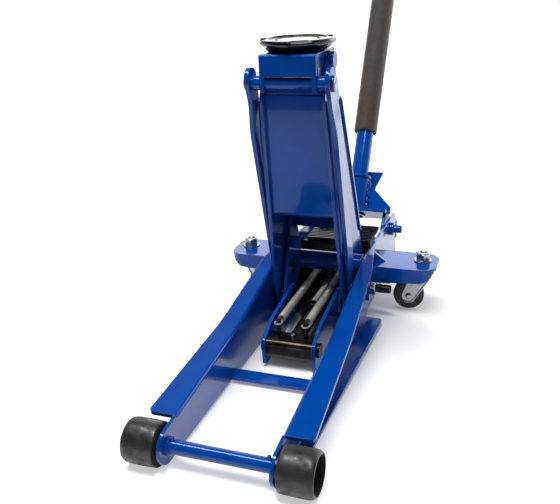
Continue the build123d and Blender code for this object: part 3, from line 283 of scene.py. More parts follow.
def oiled_steel(name, dark, light, roughness):
    material, tree, shader, place = start(name, Metallic=1, Roughness=roughness)
    stain = add(tree, "ShaderNodeTexNoise", {"Vector": place, "Scale": per_metre(14), "Detail": 4})
    blend_colours(tree, shader, stain.outputs["Fac"], dark, light)
    grind = add(tree, "ShaderNodeTexNoise", {"Vector": place, "Scale": per_metre(1.5), "Detail": 2})
    relief(tree, shader, grind.outputs["Fac"], strength=0.06, depth_mm=0.1, edge_mm=1.6)
    return material


def spring_wire():
    material, tree, shader, place = start("spring_wire", Metallic=0.6, Roughness=0.42)
    film = add(tree, "ShaderNodeTexNoise", {"Vector": place, "Scale": per_metre(18), "Detail": 3})
    blend_colours(tree, shader, film.outputs["Fac"], "#A3A399", "#C4C2B7")
    return material


FINISHES["zinc"] = zinc_plate()
FINISHES["steel"] = oiled_steel("oiled_steel", "#2A2623", "#4A443E", 0.32)
FINISHES["polished_rod"] = oiled_steel("ground_rod", "#6A5C50", "#8A7D70", 0.24)
FINISHES["spring_steel"] = spring_wire()
print("finishes so far:", ", ".join(FINISHES))

# %% [markdown]
# ## Foam and rubber
# The sleeve is closed-cell foam: dull, faintly warm grey, with tiny cells cut open at its surface that
# scatter light at a grazing angle. The end grip is moulded rubber with the fine matt grain of its mould.

# %% Foam and rubber


def cell_foam():
    material, tree, shader, place = start(
        "cell_foam", Roughness=0.75, Sheen_Weight=0.15, Sheen_Roughness=0.5)
    mottle = add(tree, "ShaderNodeTexNoise", {"Vector": place, "Scale": per_metre(9), "Detail": 5})
    blend_colours(tree, shader, mottle.outputs["Fac"], "#2C2926", "#38342F")
    # The cells are about 0.5 mm wide; they are drawn at 1.6 mm so that they show.
    cells = add(tree, "ShaderNodeTexVoronoi", {"Vector": place, "Scale": per_metre(1.6)})
    relief(tree, shader, cells.outputs["Distance"], strength=0.3, depth_mm=0.4, edge_mm=1.0)
    return material


def moulded_rubber():
    material, tree, shader, place = start("moulded_rubber", Base_Color=srgb("#191919"))
    grain = add(tree, "ShaderNodeTexNoise", {"Vector": place, "Scale": per_metre(1.2), "Detail": 3})
    gloss = add(tree, "ShaderNodeMapRange", {"Value": grain.outputs["Fac"], "To Min": 0.5, "To Max": 0.7})
    tree.links.new(gloss.outputs["Result"], shader.inputs["Roughness"])
    relief(tree, shader, grain.outputs["Fac"], strength=0.2, depth_mm=0.2, edge_mm=0.8)
    return material


FINISHES["foam"] = cell_foam()
FINISHES["grip_rubber"] = moulded_rubber()
print("finishes so far:", ", ".join(FINISHES))

# %% [markdown]
# ## Dress the CAD pieces
# Every CAD piece names the slot of its finish, so a single loop can dress them all.

# %% Dress the CAD pieces
for part in frame["record"]["subparts"]:
    mesh = frame["nodes"][part["node"]].data
    mesh.materials.clear()
    mesh.materials.append(FINISHES[part["material_slot"]])

# %% [markdown]
# ## Tools for pieces
# The finer pieces are mostly of three kinds: a bar that follows a line, such as a spring or a weld; a
# turned piece; and a nut, which is a turned piece cut to six flats. Each is drawn as rings of points joined
# by faces. Places are given in millimetres from the front axle, as on the drawing, and pieces on the handle
# in its own directions.

# %% Tools for pieces
SIDES = (("left", -1), ("right", 1))
YOKE_PIVOT_Y, YOKE_PIVOT_Z = 677, 100
HANDLE_LEAN = math.radians(33.5)
HANDLE_UP = Vector((0, math.sin(HANDLE_LEAN), math.cos(HANDLE_LEAN)))


def at(x, y, z):
    """A place in millimetres: x from the middle, y behind the front axle, z above the floor."""
    return Vector((x * MM, AXLE_Y + y * MM, z * MM))


def on_handle(x, back, up):
    """A place in millimetres from the handle's pivot: across, towards the rear, and up along the handle."""
    return at(x, YOKE_PIVOT_Y + back * math.cos(HANDLE_LEAN) + up * math.sin(HANDLE_LEAN),
              YOKE_PIVOT_Z - back * math.sin(HANDLE_LEAN) + up * math.cos(HANDLE_LEAN))


def join_rings(shape, rings):
    """Faces between one ring of points and the next."""
    for low, high in zip(rings, rings[1:]):
        for i in range(len(low)):
            k = (i + 1) % len(low)
            shape.faces.new((low[i], low[k], high[k], high[i]))


def loft(shape, rings):
    """A body through rings of points, closed at both ends."""
    join_rings(shape, rings)
    shape.faces.new(rings[0])
    shape.faces.new(rings[-1])


def bar_along(shape, points, radii, sides=10):
    """A round bar that follows points, with its own radius at each of them and closed ends."""
    side = (points[1] - points[0]).orthogonal()
    rings = []
    for i, point in enumerate(points):
        ahead = (points[min(i + 1, len(points) - 1)] - points[max(i - 1, 0)]).normalized()
        side = (side - ahead * side.dot(ahead)).normalized()
        across = ahead.cross(side)
        angles = [2 * math.pi * k / sides for k in range(sides)]
        rings.append([
            shape.verts.new(point + (side * math.cos(a) + across * math.sin(a)) * radii[i])
            for a in angles])
    loft(shape, rings)


def turned(shape, foot, axis, profile, sides=48, flats=None):
    """A turned piece from (radius, height) pairs in millimetres, cut to six flats where their corner radius
    is given. A profile that ends where it starts gives a tube; any other is closed at both ends."""
    side = axis.orthogonal().normalized()
    across = axis.cross(side)
    rings = []
    for radius, height in profile:
        ring = []
        for k in range(sides):
            turn = 2 * math.pi * k / sides
            reach = radius
            if flats:
                corner = (turn + math.pi / 6) % (math.pi / 3) - math.pi / 6
                reach = min(radius, flats * math.cos(math.pi / 6) / math.cos(math.pi / 6 - abs(corner)))
            spoke = side * math.cos(turn) + across * math.sin(turn)
            ring.append(shape.verts.new(foot + (spoke * reach + axis * height) * MM))
        rings.append(ring)
    if profile[0] == profile[-1]:
        for vert in rings.pop():
            shape.verts.remove(vert)
        rings.append(rings[0])
    else:
        shape.faces.new(rings[0])
        shape.faces.new(rings[-1])
    join_rings(shape, rings)


def piece(name, shape, slot, body, crease=40):
    """Makes an object of a finished shape; it rides on a body and wears the finish of a slot."""
    bmesh.ops.recalc_face_normals(shape, faces=shape.faces)
    mesh = bpy.data.meshes.new(name)
    shape.to_mesh(mesh)
    shape.free()
    mesh.shade_smooth()
    mesh.set_sharp_from_angle(angle=math.radians(crease))
    mesh.materials.append(FINISHES[slot])
    made = bpy.data.objects.new(name, mesh)
    bpy.context.collection.objects.link(made)
    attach(made, body)
    print(name, "has", len(mesh.polygons), "faces")
    return made


print("the handle leans back", round(math.degrees(HANDLE_LEAN), 1), "degrees")

# %% [markdown]
# ## Return springs
# Two long tension springs pull the ram back. The real ones are wound almost tight, so from a little way off
# each looks like a ribbed tube, and each ends in a loop round a stud. A spring is one wire, so it is drawn
# as one bar along a line: loop, neck, coil, neck, loop. The CAD springs have fewer turns, and these stand
# for them. These ride on the chassis at one length, and their loops are long enough to clear the studs.

# %% Return springs
SPRING_X, SPRING_Z = 23, 71
SPRING_FRONT, SPRING_REAR = 290, 556
WIRE_R, COIL_R, LOOP_HALF, LOOP_LONG, NECK = 1.6, 5.2, 5.6, 7.2, 7.6
SPRING_TURNS = 66
POINTS_PER_TURN = 14
NECK_PULL, NECK_POINTS = 0.6, 10


def spring_line(side):
    """Points along the wire, with x measured outwards from the coil's middle."""
    front = SPRING_FRONT + LOOP_LONG + NECK
    rear = SPRING_REAR - LOOP_LONG - NECK
    loop = [math.radians(angle) for angle in range(270, -1, -15)]
    line = [Vector((LOOP_HALF * math.cos(t), SPRING_FRONT - LOOP_LONG * math.sin(t), 0)) for t in loop]
    steps = SPRING_TURNS * POINTS_PER_TURN
    coil = []
    for i in range(steps + 1):
        turn = 2 * math.pi * i / POINTS_PER_TURN
        coil.append(Vector((
            COIL_R * math.cos(turn), front + (rear - front) * i / steps, COIL_R * math.sin(turn))))
    end = [Vector((LOOP_HALF * math.cos(t), SPRING_REAR + LOOP_LONG * math.sin(t), 0)) for t in loop[::-1]]
    pull, rise = Vector((0, NECK * NECK_PULL, 0)), Vector((0, 0, COIL_R))
    lead = geometry.interpolate_bezier(line[-1], line[-1] + pull, coil[0] - rise, coil[0], NECK_POINTS)
    tail = geometry.interpolate_bezier(coil[-1], coil[-1] + rise, end[0] - pull, end[0], NECK_POINTS)
    whole = line + lead[1:-1] + coil + tail[1:-1] + end
    return [at(side * (SPRING_X + p.x), p.y, SPRING_Z + p.z) for p in whole]


for name, side in SIDES:
    shape = bmesh.new()
    line = spring_line(side)
    bar_along(shape, line, [WIRE_R * MM] * len(line), sides=8)
    spring = piece("coil_spring_" + name, shape, "spring_steel", "chassis")
    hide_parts("return_spring_" + name)
    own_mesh(spring)

# %% [markdown]
# ## Foam sleeve and end grip
# The sleeve is a tube of foam pushed over the handle. Its cut ends are soft, and hands have left it very
# slightly uneven, so its radius wanders by a fraction of a millimetre. The end grip has ribs against
# slipping and a domed end. Both are turned pieces.

# %% Foam sleeve and end grip
HANDLE_R = 18
FOAM_R, FOAM_START, FOAM_END = 24, 205, 635
FOAM_SOFT_END = 4
FOAM_ROWS, FOAM_WANDER = 60, 0.35
ROUND_STEPS = 6
GRIP_R, GRIP_START, GRIP_END = 21, 896, 1052
GRIP_RIBS, RIB_SPACING, RIB_DEPTH = 13, 9, 1.8
GRIP_LEAD, GRIP_COLLAR, FIRST_RIB = 2, 10, 12
RIB_SHOULDER = 0.4
GRIP_PLAIN, DOME_R, END_WALL, TIP_R = 6, 7, 6, 2
SOCKET_BACK = 10
HANDLE_FOOT = on_handle(0, SOCKET_BACK, 0)


def quarter_turn():
    """Angles from nothing to a right angle."""
    return [math.pi / 2 * i / ROUND_STEPS for i in range(ROUND_STEPS + 1)]


def foam_profile():
    wander = random.Random(7)
    bottom = [(FOAM_R - FOAM_SOFT_END * (1 - math.sin(t)), FOAM_START + FOAM_SOFT_END * (1 - math.cos(t)))
              for t in quarter_turn()]
    span = FOAM_END - FOAM_START - 2 * FOAM_SOFT_END
    body = [(FOAM_R - FOAM_WANDER * wander.random(), FOAM_START + FOAM_SOFT_END + span * i / FOAM_ROWS)
            for i in range(1, FOAM_ROWS)]
    top = [(r, FOAM_START + FOAM_END - h) for r, h in bottom[::-1]]
    return [(HANDLE_R, FOAM_START), *bottom, *body, *top, (HANDLE_R, FOAM_END), (HANDLE_R, FOAM_START)]


def grip_profile():
    valley = GRIP_R - RIB_DEPTH
    profile = [(HANDLE_R, GRIP_START), (valley, GRIP_START), (GRIP_R, GRIP_START + GRIP_LEAD),
               (GRIP_R, GRIP_START + GRIP_COLLAR)]
    for rib in range(GRIP_RIBS):
        low = GRIP_START + FIRST_RIB + RIB_SPACING * rib
        profile += [(valley, low), (valley, low + 3), (GRIP_R - RIB_SHOULDER, low + 4.5),
                    (GRIP_R, low + 6), (GRIP_R - RIB_SHOULDER, low + 7.5)]
    dome = GRIP_END - DOME_R
    profile += [(GRIP_R, dome - GRIP_PLAIN)]
    profile += [(GRIP_R - DOME_R + DOME_R * math.cos(t), dome + DOME_R * math.sin(t))
                for t in quarter_turn()]
    wall = GRIP_END - END_WALL
    return profile + [(TIP_R, GRIP_END), (TIP_R, wall), (HANDLE_R, wall), (HANDLE_R, GRIP_START)]


shape = bmesh.new()
turned(shape, HANDLE_FOOT, HANDLE_UP, foam_profile(), sides=64)
sleeve = piece("foam_tube", shape, "foam", "handle")
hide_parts("foam_sleeve")

shape = bmesh.new()
turned(shape, HANDLE_FOOT, HANDLE_UP, grip_profile(), sides=56)
grip = piece("ribbed_grip", shape, "grip_rubber", "handle", crease=50)
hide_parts("handle_grip")

# %% [markdown]
# ## Front rollers
# Each roller is turned from nylon bar: a slightly barrelled tread, a deep cup in the outer end and a flat
# face against the side plate. The barrel shape is what lets a loaded jack roll in a curve.

# %% Front rollers
ROLLER_START = 84
# Radius and distance from the inner face, in millimetres: face, tread, rim, cup and bore.
ROLLER_SECTION = [
    (10.1, 0), (28.2, 0), (29.4, 0.5), (30.2, 1.6), (30.5, 3.5), (30.7, 8), (31, 17), (31, 35), (30.8, 40),
    (30.4, 43), (29.4, 45.8), (28.2, 47.4), (27, 48), (25.8, 48), (25.2, 47.6), (25, 46.8), (25, 25),
    (24.2, 22.8), (22, 22), (10.1, 22), (10.1, 0)]

for name, side in SIDES:
    shape = bmesh.new()
    foot = Vector((side * ROLLER_START * MM, AXLE_Y, WHEEL_Z))
    turned(shape, foot, Vector((side, 0, 0)), ROLLER_SECTION, sides=96)
    roller = piece("barrel_roller_" + name, shape, "black_wheel", "front_wheel_" + name)
    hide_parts("front_wheel_" + name)

# %% [markdown]
# ## Saddle
# The saddle is a shallow forged dish. A raised rim keeps the load from sliding off, a groove runs round the
# hollow, and four notches in the rim take the corners of a beam. It is turned, and its rim is pressed down
# at each notch.

# %% Saddle
SADDLE_Y = 370
# Radius and height, in millimetres: stem, underside, rim, groove and hollow.
SADDLE_SECTION = [
    (0.5, 469.5), (10, 469.5), (11, 470.5), (11, 489.5), (44, 489.5), (46, 490.4), (53, 497.6),
    (54.4, 498.4), (56.4, 500.2), (57, 501.4), (57, 505.4), (56.4, 506.5), (55.2, 507), (44.4, 507),
    (43.7, 506.6), (43.4, 505.2), (42.8, 504.9), (34.4, 504.9), (33.9, 504.5), (33.6, 502.6), (30.2, 502.6),
    (29.9, 504.5), (29.4, 504.9), (0.5, 504.9)]
# Half a notch is a little over 15 degrees, so that the points at 15 belong to it.
NOTCH_TURN, NOTCH_HALF = 22, 15.1
NOTCH_FLOOR, NOTCH_R = 503.6 * MM, 53 * MM
# The share of the rim's height above a notch's floor that is left there.
NOTCH_REST = 0.1

shape = bmesh.new()
turned(shape, at(0, SADDLE_Y, 0), Vector((0, 0, 1)), SADDLE_SECTION, sides=120)
for vert in shape.verts:
    flat = vert.co - at(0, SADDLE_Y, 0)
    bearing = math.degrees(math.atan2(flat.x, -flat.y)) - NOTCH_TURN
    in_notch = abs((bearing + 45) % 90 - 45) < NOTCH_HALF
    if in_notch and flat.z > NOTCH_FLOOR and flat.xy.length > NOTCH_R:
        vert.co.z = NOTCH_FLOOR + (vert.co.z - NOTCH_FLOOR) * NOTCH_REST
saddle = piece("ringed_saddle", shape, "black_paint", "saddle", crease=35)
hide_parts("saddle")

# %% [markdown]
# ## Parallel links
# The two links keep the saddle level. Each is a flat bar with round eyes. It stands clear of the arm, and
# steps in below its head towards the bracket. It is drawn as rings across the bar, from one eye to the
# other, each with small chamfers.

# %% Parallel links
LINK_FOOT, LINK_HEAD = (416, 85), (328, 447)
LINK_X, LINK_T = 62.5, 7
WAIST_HALF, FOOT_EYE_R, HEAD_EYE_R, HEAD_LONG = 15.5, 17, 19, 4
LINK_STEPS = ((-40, 0), (290, 0), (348, 4.6), (420, 4.6))
LINK_CHAMFER = 0.9
TIP_HALF, LINK_ROW, HEAD_GAP = 0.4, 8, 12


def step_in(along):
    """How far the link stands towards the arm at a distance from its foot."""
    for (a, low), (b, high) in zip(LINK_STEPS, LINK_STEPS[1:]):
        if along <= b:
            share = (along - a) / (b - a)
            return low + (high - low) * share * share * (3 - 2 * share)


def half_width(along, length):
    """Half the bar's width at a distance from its foot: its waist, or an eye where that is wider."""
    head = length + HEAD_LONG
    waist = WAIST_HALF if 0 <= along <= head else TIP_HALF
    foot_eye = math.sqrt(max(0, FOOT_EYE_R ** 2 - along ** 2))
    head_eye = math.sqrt(max(0, HEAD_EYE_R ** 2 - (along - head) ** 2))
    return max(waist, foot_eye, head_eye)


def link_rings(shape, side):
    foot, head = Vector(LINK_FOOT), Vector(LINK_HEAD)
    length = (head - foot).length
    up = (head - foot) / length
    across = Vector((up.y, -up.x))
    bottom = [-FOOT_EYE_R * math.cos(math.radians(6 * i)) for i in range(15)]
    top = [length + HEAD_LONG + HEAD_EYE_R * math.sin(math.radians(6 * i)) for i in range(-4, 16)]
    middle = [LINK_ROW * i for i in range(1, int((length - HEAD_GAP) / LINK_ROW))]
    for along in bottom + middle + top:
        wide = half_width(along, length)
        cut = min(LINK_CHAMFER, wide / 2)
        inner = LINK_X - step_in(along)
        outer = inner + LINK_T
        outline = ((wide - cut, inner), (wide, inner + cut), (wide, outer - cut), (wide - cut, outer),
                   (cut - wide, outer), (-wide, outer - cut), (-wide, inner + cut), (cut - wide, inner))
        ring = []
        for reach, x in outline:
            place = foot + up * along + across * reach
            ring.append(shape.verts.new(at(side * x, place.x, place.y)))
        yield ring


for name, side in SIDES:
    shape = bmesh.new()
    loft(shape, list(link_rings(shape, side)))
    link = piece("bent_link_" + name, shape, "blue_paint", "links")
    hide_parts("link_" + name)

# %% [markdown]
# ## Link pin
# One pin goes through the heads of both links. It is turned, and riveted over at its ends.

# %% Link pin
PIN_END = 69.2
PIN_SECTION = [
    (0.5, 0), (10.6, 0), (11.6, 0.5), (12, 1.5), (12, 4.2), (8.5, 4.2), (8.5, 134.2), (12, 134.2),
    (12, 136.9), (11.6, 137.9), (10.6, 138.4), (0.5, 138.4)]

shape = bmesh.new()
turned(shape, at(-PIN_END, *LINK_HEAD), Vector((1, 0, 0)), PIN_SECTION)
pin = piece("riveted_pin", shape, "blue_paint", "links", crease=35)
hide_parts("link_pin", "link_pin_nuts")

# %% [markdown]
# ## Nuts
# A real nut is a slice of six-sided bar whose corners have been turned away to a cone, which leaves the
# familiar curved edges. The CAD nuts on the frame are plain prisms, so these stand for them. The king nuts
# hold the casters, and are taller.

# %% Nuts
WEB_X, EAR_T = 80, 6
NUT_H, NUT_CHAMFER, CONE_SHARE = 10, 2.2, 1.4
EAR_BOLT = (478, 60)
# The radius of each nut's corners and of its bore.
LINK_NUT, EAR_NUT, KING_NUT = (14, 9), (13.5, 7.5), (13.3, 6)
KING_X, KING_Y, KING_NUT_Z = 168, 540, 97.5
KING_NUT_STRETCH = 1.4
UP = Vector((0, 0, 1))


def nut_profile(corner, bore):
    """Half of a nut's section: bore, bottom, the flats' full width, and the turned-off top."""
    steps = [(corner - NUT_CHAMFER * CONE_SHARE * (i / 4) ** 2, NUT_H - NUT_CHAMFER * (1 - i / 4))
             for i in range(5)]
    return [(bore, 0), (corner - NUT_CHAMFER, 0), (corner, NUT_CHAMFER / 2), *steps, (bore + 1.5, NUT_H),
            (bore, NUT_H - 1.2), (bore, 0)]


shape = bmesh.new()
for side in (-1, 1):
    outwards = Vector((side, 0, 0))
    feet = (at(side * WEB_X, *LINK_FOOT), at(side * (WEB_X + EAR_T), *EAR_BOLT))
    for nut, foot in zip((LINK_NUT, EAR_NUT), feet):
        turned(shape, foot, outwards, nut_profile(*nut), sides=72, flats=nut[0])
nuts = piece("hex_nuts", shape, "zinc", "chassis", crease=25)
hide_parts("frame_nuts")

shape = bmesh.new()
for side in (-1, 1):
    tall = [(r, h * KING_NUT_STRETCH) for r, h in nut_profile(*KING_NUT)]
    turned(shape, at(side * KING_X, KING_Y, KING_NUT_Z), UP, tall, sides=72, flats=KING_NUT[0])
piece("king_nuts", shape, "zinc", "chassis", crease=25)

# %% [markdown]
# ## Bolt threads
# The long bolts through the caster brackets end in a thread, drawn as one fine wire wound round the bolt.

# %% Bolt threads
EAR_BOLT_R, EAR_BOLT_END, BOLT_CHAMFER = 7.5, 122, 2
THREAD_PITCH, THREAD_R = 2, 0.55
THREAD_POINTS = 20

shape = bmesh.new()
for side in (-1, 1):
    begin = WEB_X + EAR_T + NUT_H + 1
    turns = (EAR_BOLT_END - BOLT_CHAMFER - begin) / THREAD_PITCH
    count = round(turns * THREAD_POINTS)
    line = []
    for i in range(count + 1):
        turn = 2 * math.pi * turns * i / count
        reach = begin + THREAD_PITCH * turns * i / count
        y = EAR_BOLT[0] + EAR_BOLT_R * math.cos(turn)
        line.append(at(side * reach, y, EAR_BOLT[1] + EAR_BOLT_R * math.sin(turn)))
    bar_along(shape, line, [THREAD_R * MM] * len(line), sides=6)
piece("bolt_threads", shape, "black_paint", "chassis")

# %% [markdown]
# ## Welds
# The yoke, the caster brackets and the tie bar are welded and then painted with the rest. A weld run is a
# bead with a ripple for each step of the torch and no two ripples quite alike. It is a bar along the seam
# whose radius rises and falls, half sunk in both plates.

# %% Welds
BEAD_STEP, BEAD_TIP, RIPPLE, BEAD_DRIFT = 0.8, 0.45, 0.16, 0.12
SOCKET_R, GUSSET_HALF_T = 23, 3
SOCKET_SEAM, SOCKET_BEAD = (38, 99), 4.4
BASE_SEAM, BASE_UP, BASE_BEAD = (26, 68), 34, 2.6
# Each seam's distance from the middle, its two ends, its height and the radius of its bead.
FRAME_SEAMS = ((WEB_X + 1, 527, 572, 95, 2.4), (74, 205, 229, 12, 2.2))
dabs = random.Random(11)


def weld(shape, start_place, end_place, radius):
    """One bead from place to place, in millimetres of radius."""
    run = end_place - start_place
    count = max(6, round(run.length / MM / BEAD_STEP))
    points, radii = [], []
    for i in range(count + 1):
        share = i / count
        swell = 1 + RIPPLE * math.sin(2 * math.pi * share * count * BEAD_STEP / (0.9 * radius))
        taper = min(1, BEAD_TIP + 4 * min(share, 1 - share))
        drift = Vector([dabs.uniform(-BEAD_DRIFT, BEAD_DRIFT) * radius * MM for _ in range(3)])
        points.append(start_place + run * share + drift)
        radii.append(radius * MM * swell * taper * dabs.uniform(0.94, 1.06))
    bar_along(shape, points, radii, sides=10)


shape = bmesh.new()
for side in (-1, 1):
    for face in (-GUSSET_HALF_T, GUSSET_HALF_T):
        back = SOCKET_BACK + face * 1.2
        socket = [on_handle(side * (SOCKET_R + 0.5), back, up) for up in SOCKET_SEAM]
        weld(shape, *socket, SOCKET_BEAD)
        base = [on_handle(side * x, back, BASE_UP) for x in BASE_SEAM]
        weld(shape, *base, BASE_BEAD)
piece("yoke_welds", shape, "blue_paint", "yoke")

shape = bmesh.new()
for side in (-1, 1):
    for x, front, rear, z, radius in FRAME_SEAMS:
        weld(shape, at(side * x, front, z), at(side * x, rear, z), radius)
piece("frame_welds", shape, "blue_paint", "chassis")

# %% [markdown]
# ## Small fastenings
# A split pin goes through each handle pivot: its eye stands above the pivot and its two legs are bent apart
# below. A small screw on top of the crosshead keeps the ram's end in.

# %% Small fastenings
PIN_X = 92
PIN_WIRE_R = 1.5
EYE_R, EYE_GAP, EYE_OPEN = 5, 2, 0.12
PIVOT_R = 8
# A leg's points: distance from the pin's middle, and height from the pivot's.
LEG = ((5, -16), (2, -11), (PIN_WIRE_R, -PIVOT_R), (PIN_WIRE_R, PIVOT_R))
SCREW_PLACE = (0, 291, 49)
SCREW_HEAD = [(0.5, -1), (4.6, -1), (4.6, 1.6), (4, 3), (2.6, 3.4), (2.4, 1.4), (0.5, 1.2)]


def split_pin(side):
    """The line of a split pin: one leg, the eye, and the other leg."""
    middle_z = YOKE_PIVOT_Z + PIVOT_R + EYE_R + EYE_GAP
    bends = [math.pi * (EYE_OPEN + (1 - EYE_OPEN) * i / 8) for i in range(9)]
    line = []
    for leg in (-1, 1):
        half = [at(side * PIN_X, YOKE_PIVOT_Y + leg * out, YOKE_PIVOT_Z + up) for out, up in LEG]
        half += [at(side * PIN_X, YOKE_PIVOT_Y + leg * EYE_R * math.sin(t), middle_z - EYE_R * math.cos(t))
                 for t in bends]
        line += half if leg < 0 else half[-2::-1]
    return line


shape = bmesh.new()
for side in (-1, 1):
    line = split_pin(side)
    bar_along(shape, line, [PIN_WIRE_R * MM] * len(line), sides=8)
piece("split_pins", shape, "zinc", "chassis")

shape = bmesh.new()
turned(shape, at(*SCREW_PLACE), UP, SCREW_HEAD, sides=32)
piece("crosshead_screw", shape, "zinc", "ram")

# %% [markdown]
# ## Caster forks
# Each fork is pressed from sheet, with a rolled rim along the edge that carries most load, and its axle is
# riveted over on both cheeks. Rim and rivets ride on the fork, in its own directions: along the way the
# wheel trails, and across, towards the front.

# %% Caster forks
FORK_TURN = math.radians(186)
TRAIL, CASTER_Z = 24, 28
CHEEK_FACE = 12.5
CHEEK_TOE_R = 12
CHEEK_SHOULDER = (-15.75, 69)
RIM_R, RIM_SUNK = 1.9, 0.6
RIVET_DOME = [(6, -0.5), (6, 0.4), (5.6, 1.4), (4.4, 2.5), (2.6, 3.2), (0.5, 3.4)]


def on_fork(side, along, across, z):
    return at(side * (KING_X + along * math.cos(FORK_TURN) - across * math.sin(FORK_TURN)),
              KING_Y + along * math.sin(FORK_TURN) + across * math.cos(FORK_TURN), z)


def rim_line(side, face):
    """Down the edge of a cheek that faces away from the wheel, and round its toe."""
    shoulder = Vector(CHEEK_SHOULDER)
    toe = Vector((TRAIL, CASTER_Z))
    reach = (toe - shoulder).length
    dip = math.atan2(*(toe - shoulder).yx) - math.asin(CHEEK_TOE_R / reach)
    touch = shoulder + Vector((math.cos(dip), math.sin(dip))) * math.sqrt(reach ** 2 - CHEEK_TOE_R ** 2)
    first = math.atan2(*(touch - toe).yx)
    line = [shoulder + Vector((0, 10)), shoulder, shoulder.lerp(touch, 0.5)]
    line += [toe + Vector((math.cos(first + t), math.sin(first + t))) * CHEEK_TOE_R
             for t in (math.radians(12 * i) for i in range(9))]
    return [on_fork(side, p.x, face * (CHEEK_FACE - RIM_SUNK), p.y) for p in line]


for name, side in SIDES:
    shape = bmesh.new()
    for face in (-1, 1):
        line = rim_line(side, face)
        bar_along(shape, line, [RIM_R * MM] * len(line), sides=8)
        outwards = on_fork(side, TRAIL, face, CASTER_Z) - on_fork(side, TRAIL, 0, CASTER_Z)
        rivet = on_fork(side, TRAIL, face * CHEEK_FACE, CASTER_Z)
        turned(shape, rivet, outwards.normalized(), RIVET_DOME, sides=32)
    piece("fork_trim_" + name, shape, "zinc", "caster_fork_" + name)

# %% [markdown]
# ## Apron tips
# The apron along the front of each caster bracket doesn't stop dead: the press drew it a little way round
# the corner, where it runs out. It is drawn as four-cornered rings round that corner, each less deep than
# the last.

# %% Apron tips
CORNER_X, CORNER_Y, CORNER_R = 170, 519, 26
APRON_T, APRON_TOP, APRON_DEPTH = 6, 89.4, 20.4
APRON_TURN, APRON_ROWS = 62, 14
APRON_INNER_R = CORNER_R - APRON_T
# The share of its depth that the apron has lost at its tip.
APRON_LOSS = 0.96

shape = bmesh.new()
for side in (-1, 1):
    rings = []
    for i in range(APRON_ROWS + 1):
        turn = math.radians(APRON_TURN * i / APRON_ROWS)
        low = APRON_TOP - APRON_DEPTH * (1 - (i / APRON_ROWS) ** 1.5 * APRON_LOSS)
        section = ((CORNER_R, APRON_TOP), (CORNER_R, low), (APRON_INNER_R, low), (APRON_INNER_R, APRON_TOP))
        rings.append([
            shape.verts.new(at(side * (CORNER_X + r * math.sin(turn)), CORNER_Y - r * math.cos(turn), z))
            for r, z in section])
    loft(shape, rings)
piece("apron_tips", shape, "blue_paint", "chassis", crease=30)

# %% [markdown]
# ## Facing of the saddle bracket
# The front of the bracket passes in front of the link pin on both sides of its window. A facing plate makes
# that: an upside-down U, flat in front, and hollowed behind where the pin lies.

# %% Facing of the saddle bracket
FACING_X, WINDOW_X, WINDOW_TOP = 43.4, 37, 459
FACING_LOW, FACING_TOP = 434.2, 488.4
FACING_FRONT, FACING_BACK, FACING_HOLLOW = 317.4, 322.2, 319.2
HOLLOW = (437.5, 456.5)
FACING_ROUND = 1.1

shape = bmesh.new()
strap = [FACING_LOW, HOLLOW[0] - 1, HOLLOW[0], HOLLOW[1], HOLLOW[1] + 1]
outline = [(-FACING_X, z) for z in strap] + [(-FACING_X, FACING_TOP), (FACING_X, FACING_TOP)]
outline += [(FACING_X, z) for z in strap[::-1]] + [(WINDOW_X, z) for z in strap]
outline += [(WINDOW_X, WINDOW_TOP), (-WINDOW_X, WINDOW_TOP)] + [(-WINDOW_X, z) for z in strap[::-1]]
front = [shape.verts.new(at(x, FACING_FRONT, z)) for x, z in outline]
back = []
for x, z in outline:
    depth = FACING_HOLLOW if HOLLOW[0] <= z <= HOLLOW[1] else FACING_BACK
    back.append(shape.verts.new(at(x, depth, z)))
join_rings(shape, [front, back])
face = shape.faces.new(front)
shape.faces.new(back)
bmesh.ops.bevel(shape, geom=face.edges[:], offset=FACING_ROUND * MM, segments=2, affect="EDGES")
piece("bracket_facing", shape, "blue_paint", "saddle_bracket", crease=30)

# %% [markdown]
# ## Stiffener in the saddle bracket
# Inside the folded bracket a cross plate joins its two sides behind the link pin, and a narrow bar joins
# them below it, so no light comes through the window. Both are plates with their lower corners cut off and
# rounded edges.

# %% Stiffener in the saddle bracket
STIFFENER = ((-38.8, 466), (-38.8, 428), (-36, 422.5), (36, 422.5), (38.8, 428), (38.8, 466))
LOWER_BAR = (
    (-38.8, 442), (-38.8, 433.4), (-43.4, 433.4), (-43.4, 430.4), (-42, 428.8), (42, 428.8), (43.4, 430.4),
    (43.4, 433.4), (38.8, 433.4), (38.8, 442))
STIFFENER_DEPTHS, LOWER_BAR_DEPTHS = (379, 383), (338.6, 341.6)
PLATE_ROUND = 0.8

shape = bmesh.new()
for outline, depths in ((STIFFENER, STIFFENER_DEPTHS), (LOWER_BAR, LOWER_BAR_DEPTHS)):
    loft(shape, [[shape.verts.new(at(x, depth, z)) for x, z in outline] for depth in depths])
bmesh.ops.bevel(shape, geom=shape.edges[:], offset=PLATE_ROUND * MM, segments=2, affect="EDGES")
piece("bracket_stiffener", shape, "blue_paint", "saddle_bracket")

# %% [markdown]
# ## Lips on the arm
# The front edges of the arm's two cheeks are turned outwards into narrow lips, which stiffen them and hide
# the gap to the links. Each lip follows the taper of its cheek, and its section is a rectangle with its
# corners cut off.

# %% Lips on the arm
ARM_PIVOT, ARM_LEAN = (462, 112), math.atan2(88, 362)
ARM_FRONT_LOW, ARM_FRONT_TOP = (-80, 6), (-46, 332)
CHEEK_OUTER, CHEEK_TAPER = 61, 0.029
LIP_DEPTH, LIP_OUT, LIP_LIMIT, LIP_CUT = 11, 6.2, 61.4, 0.8
LIP_SHIFT, LIP_SUNK = 0.4, 0.6
# The places of the lip's rings, as shares of the cheek's front edge.
LIP_RINGS = (0.2, 0.21, 0.4, 0.6, 0.8, 0.965, 0.975)


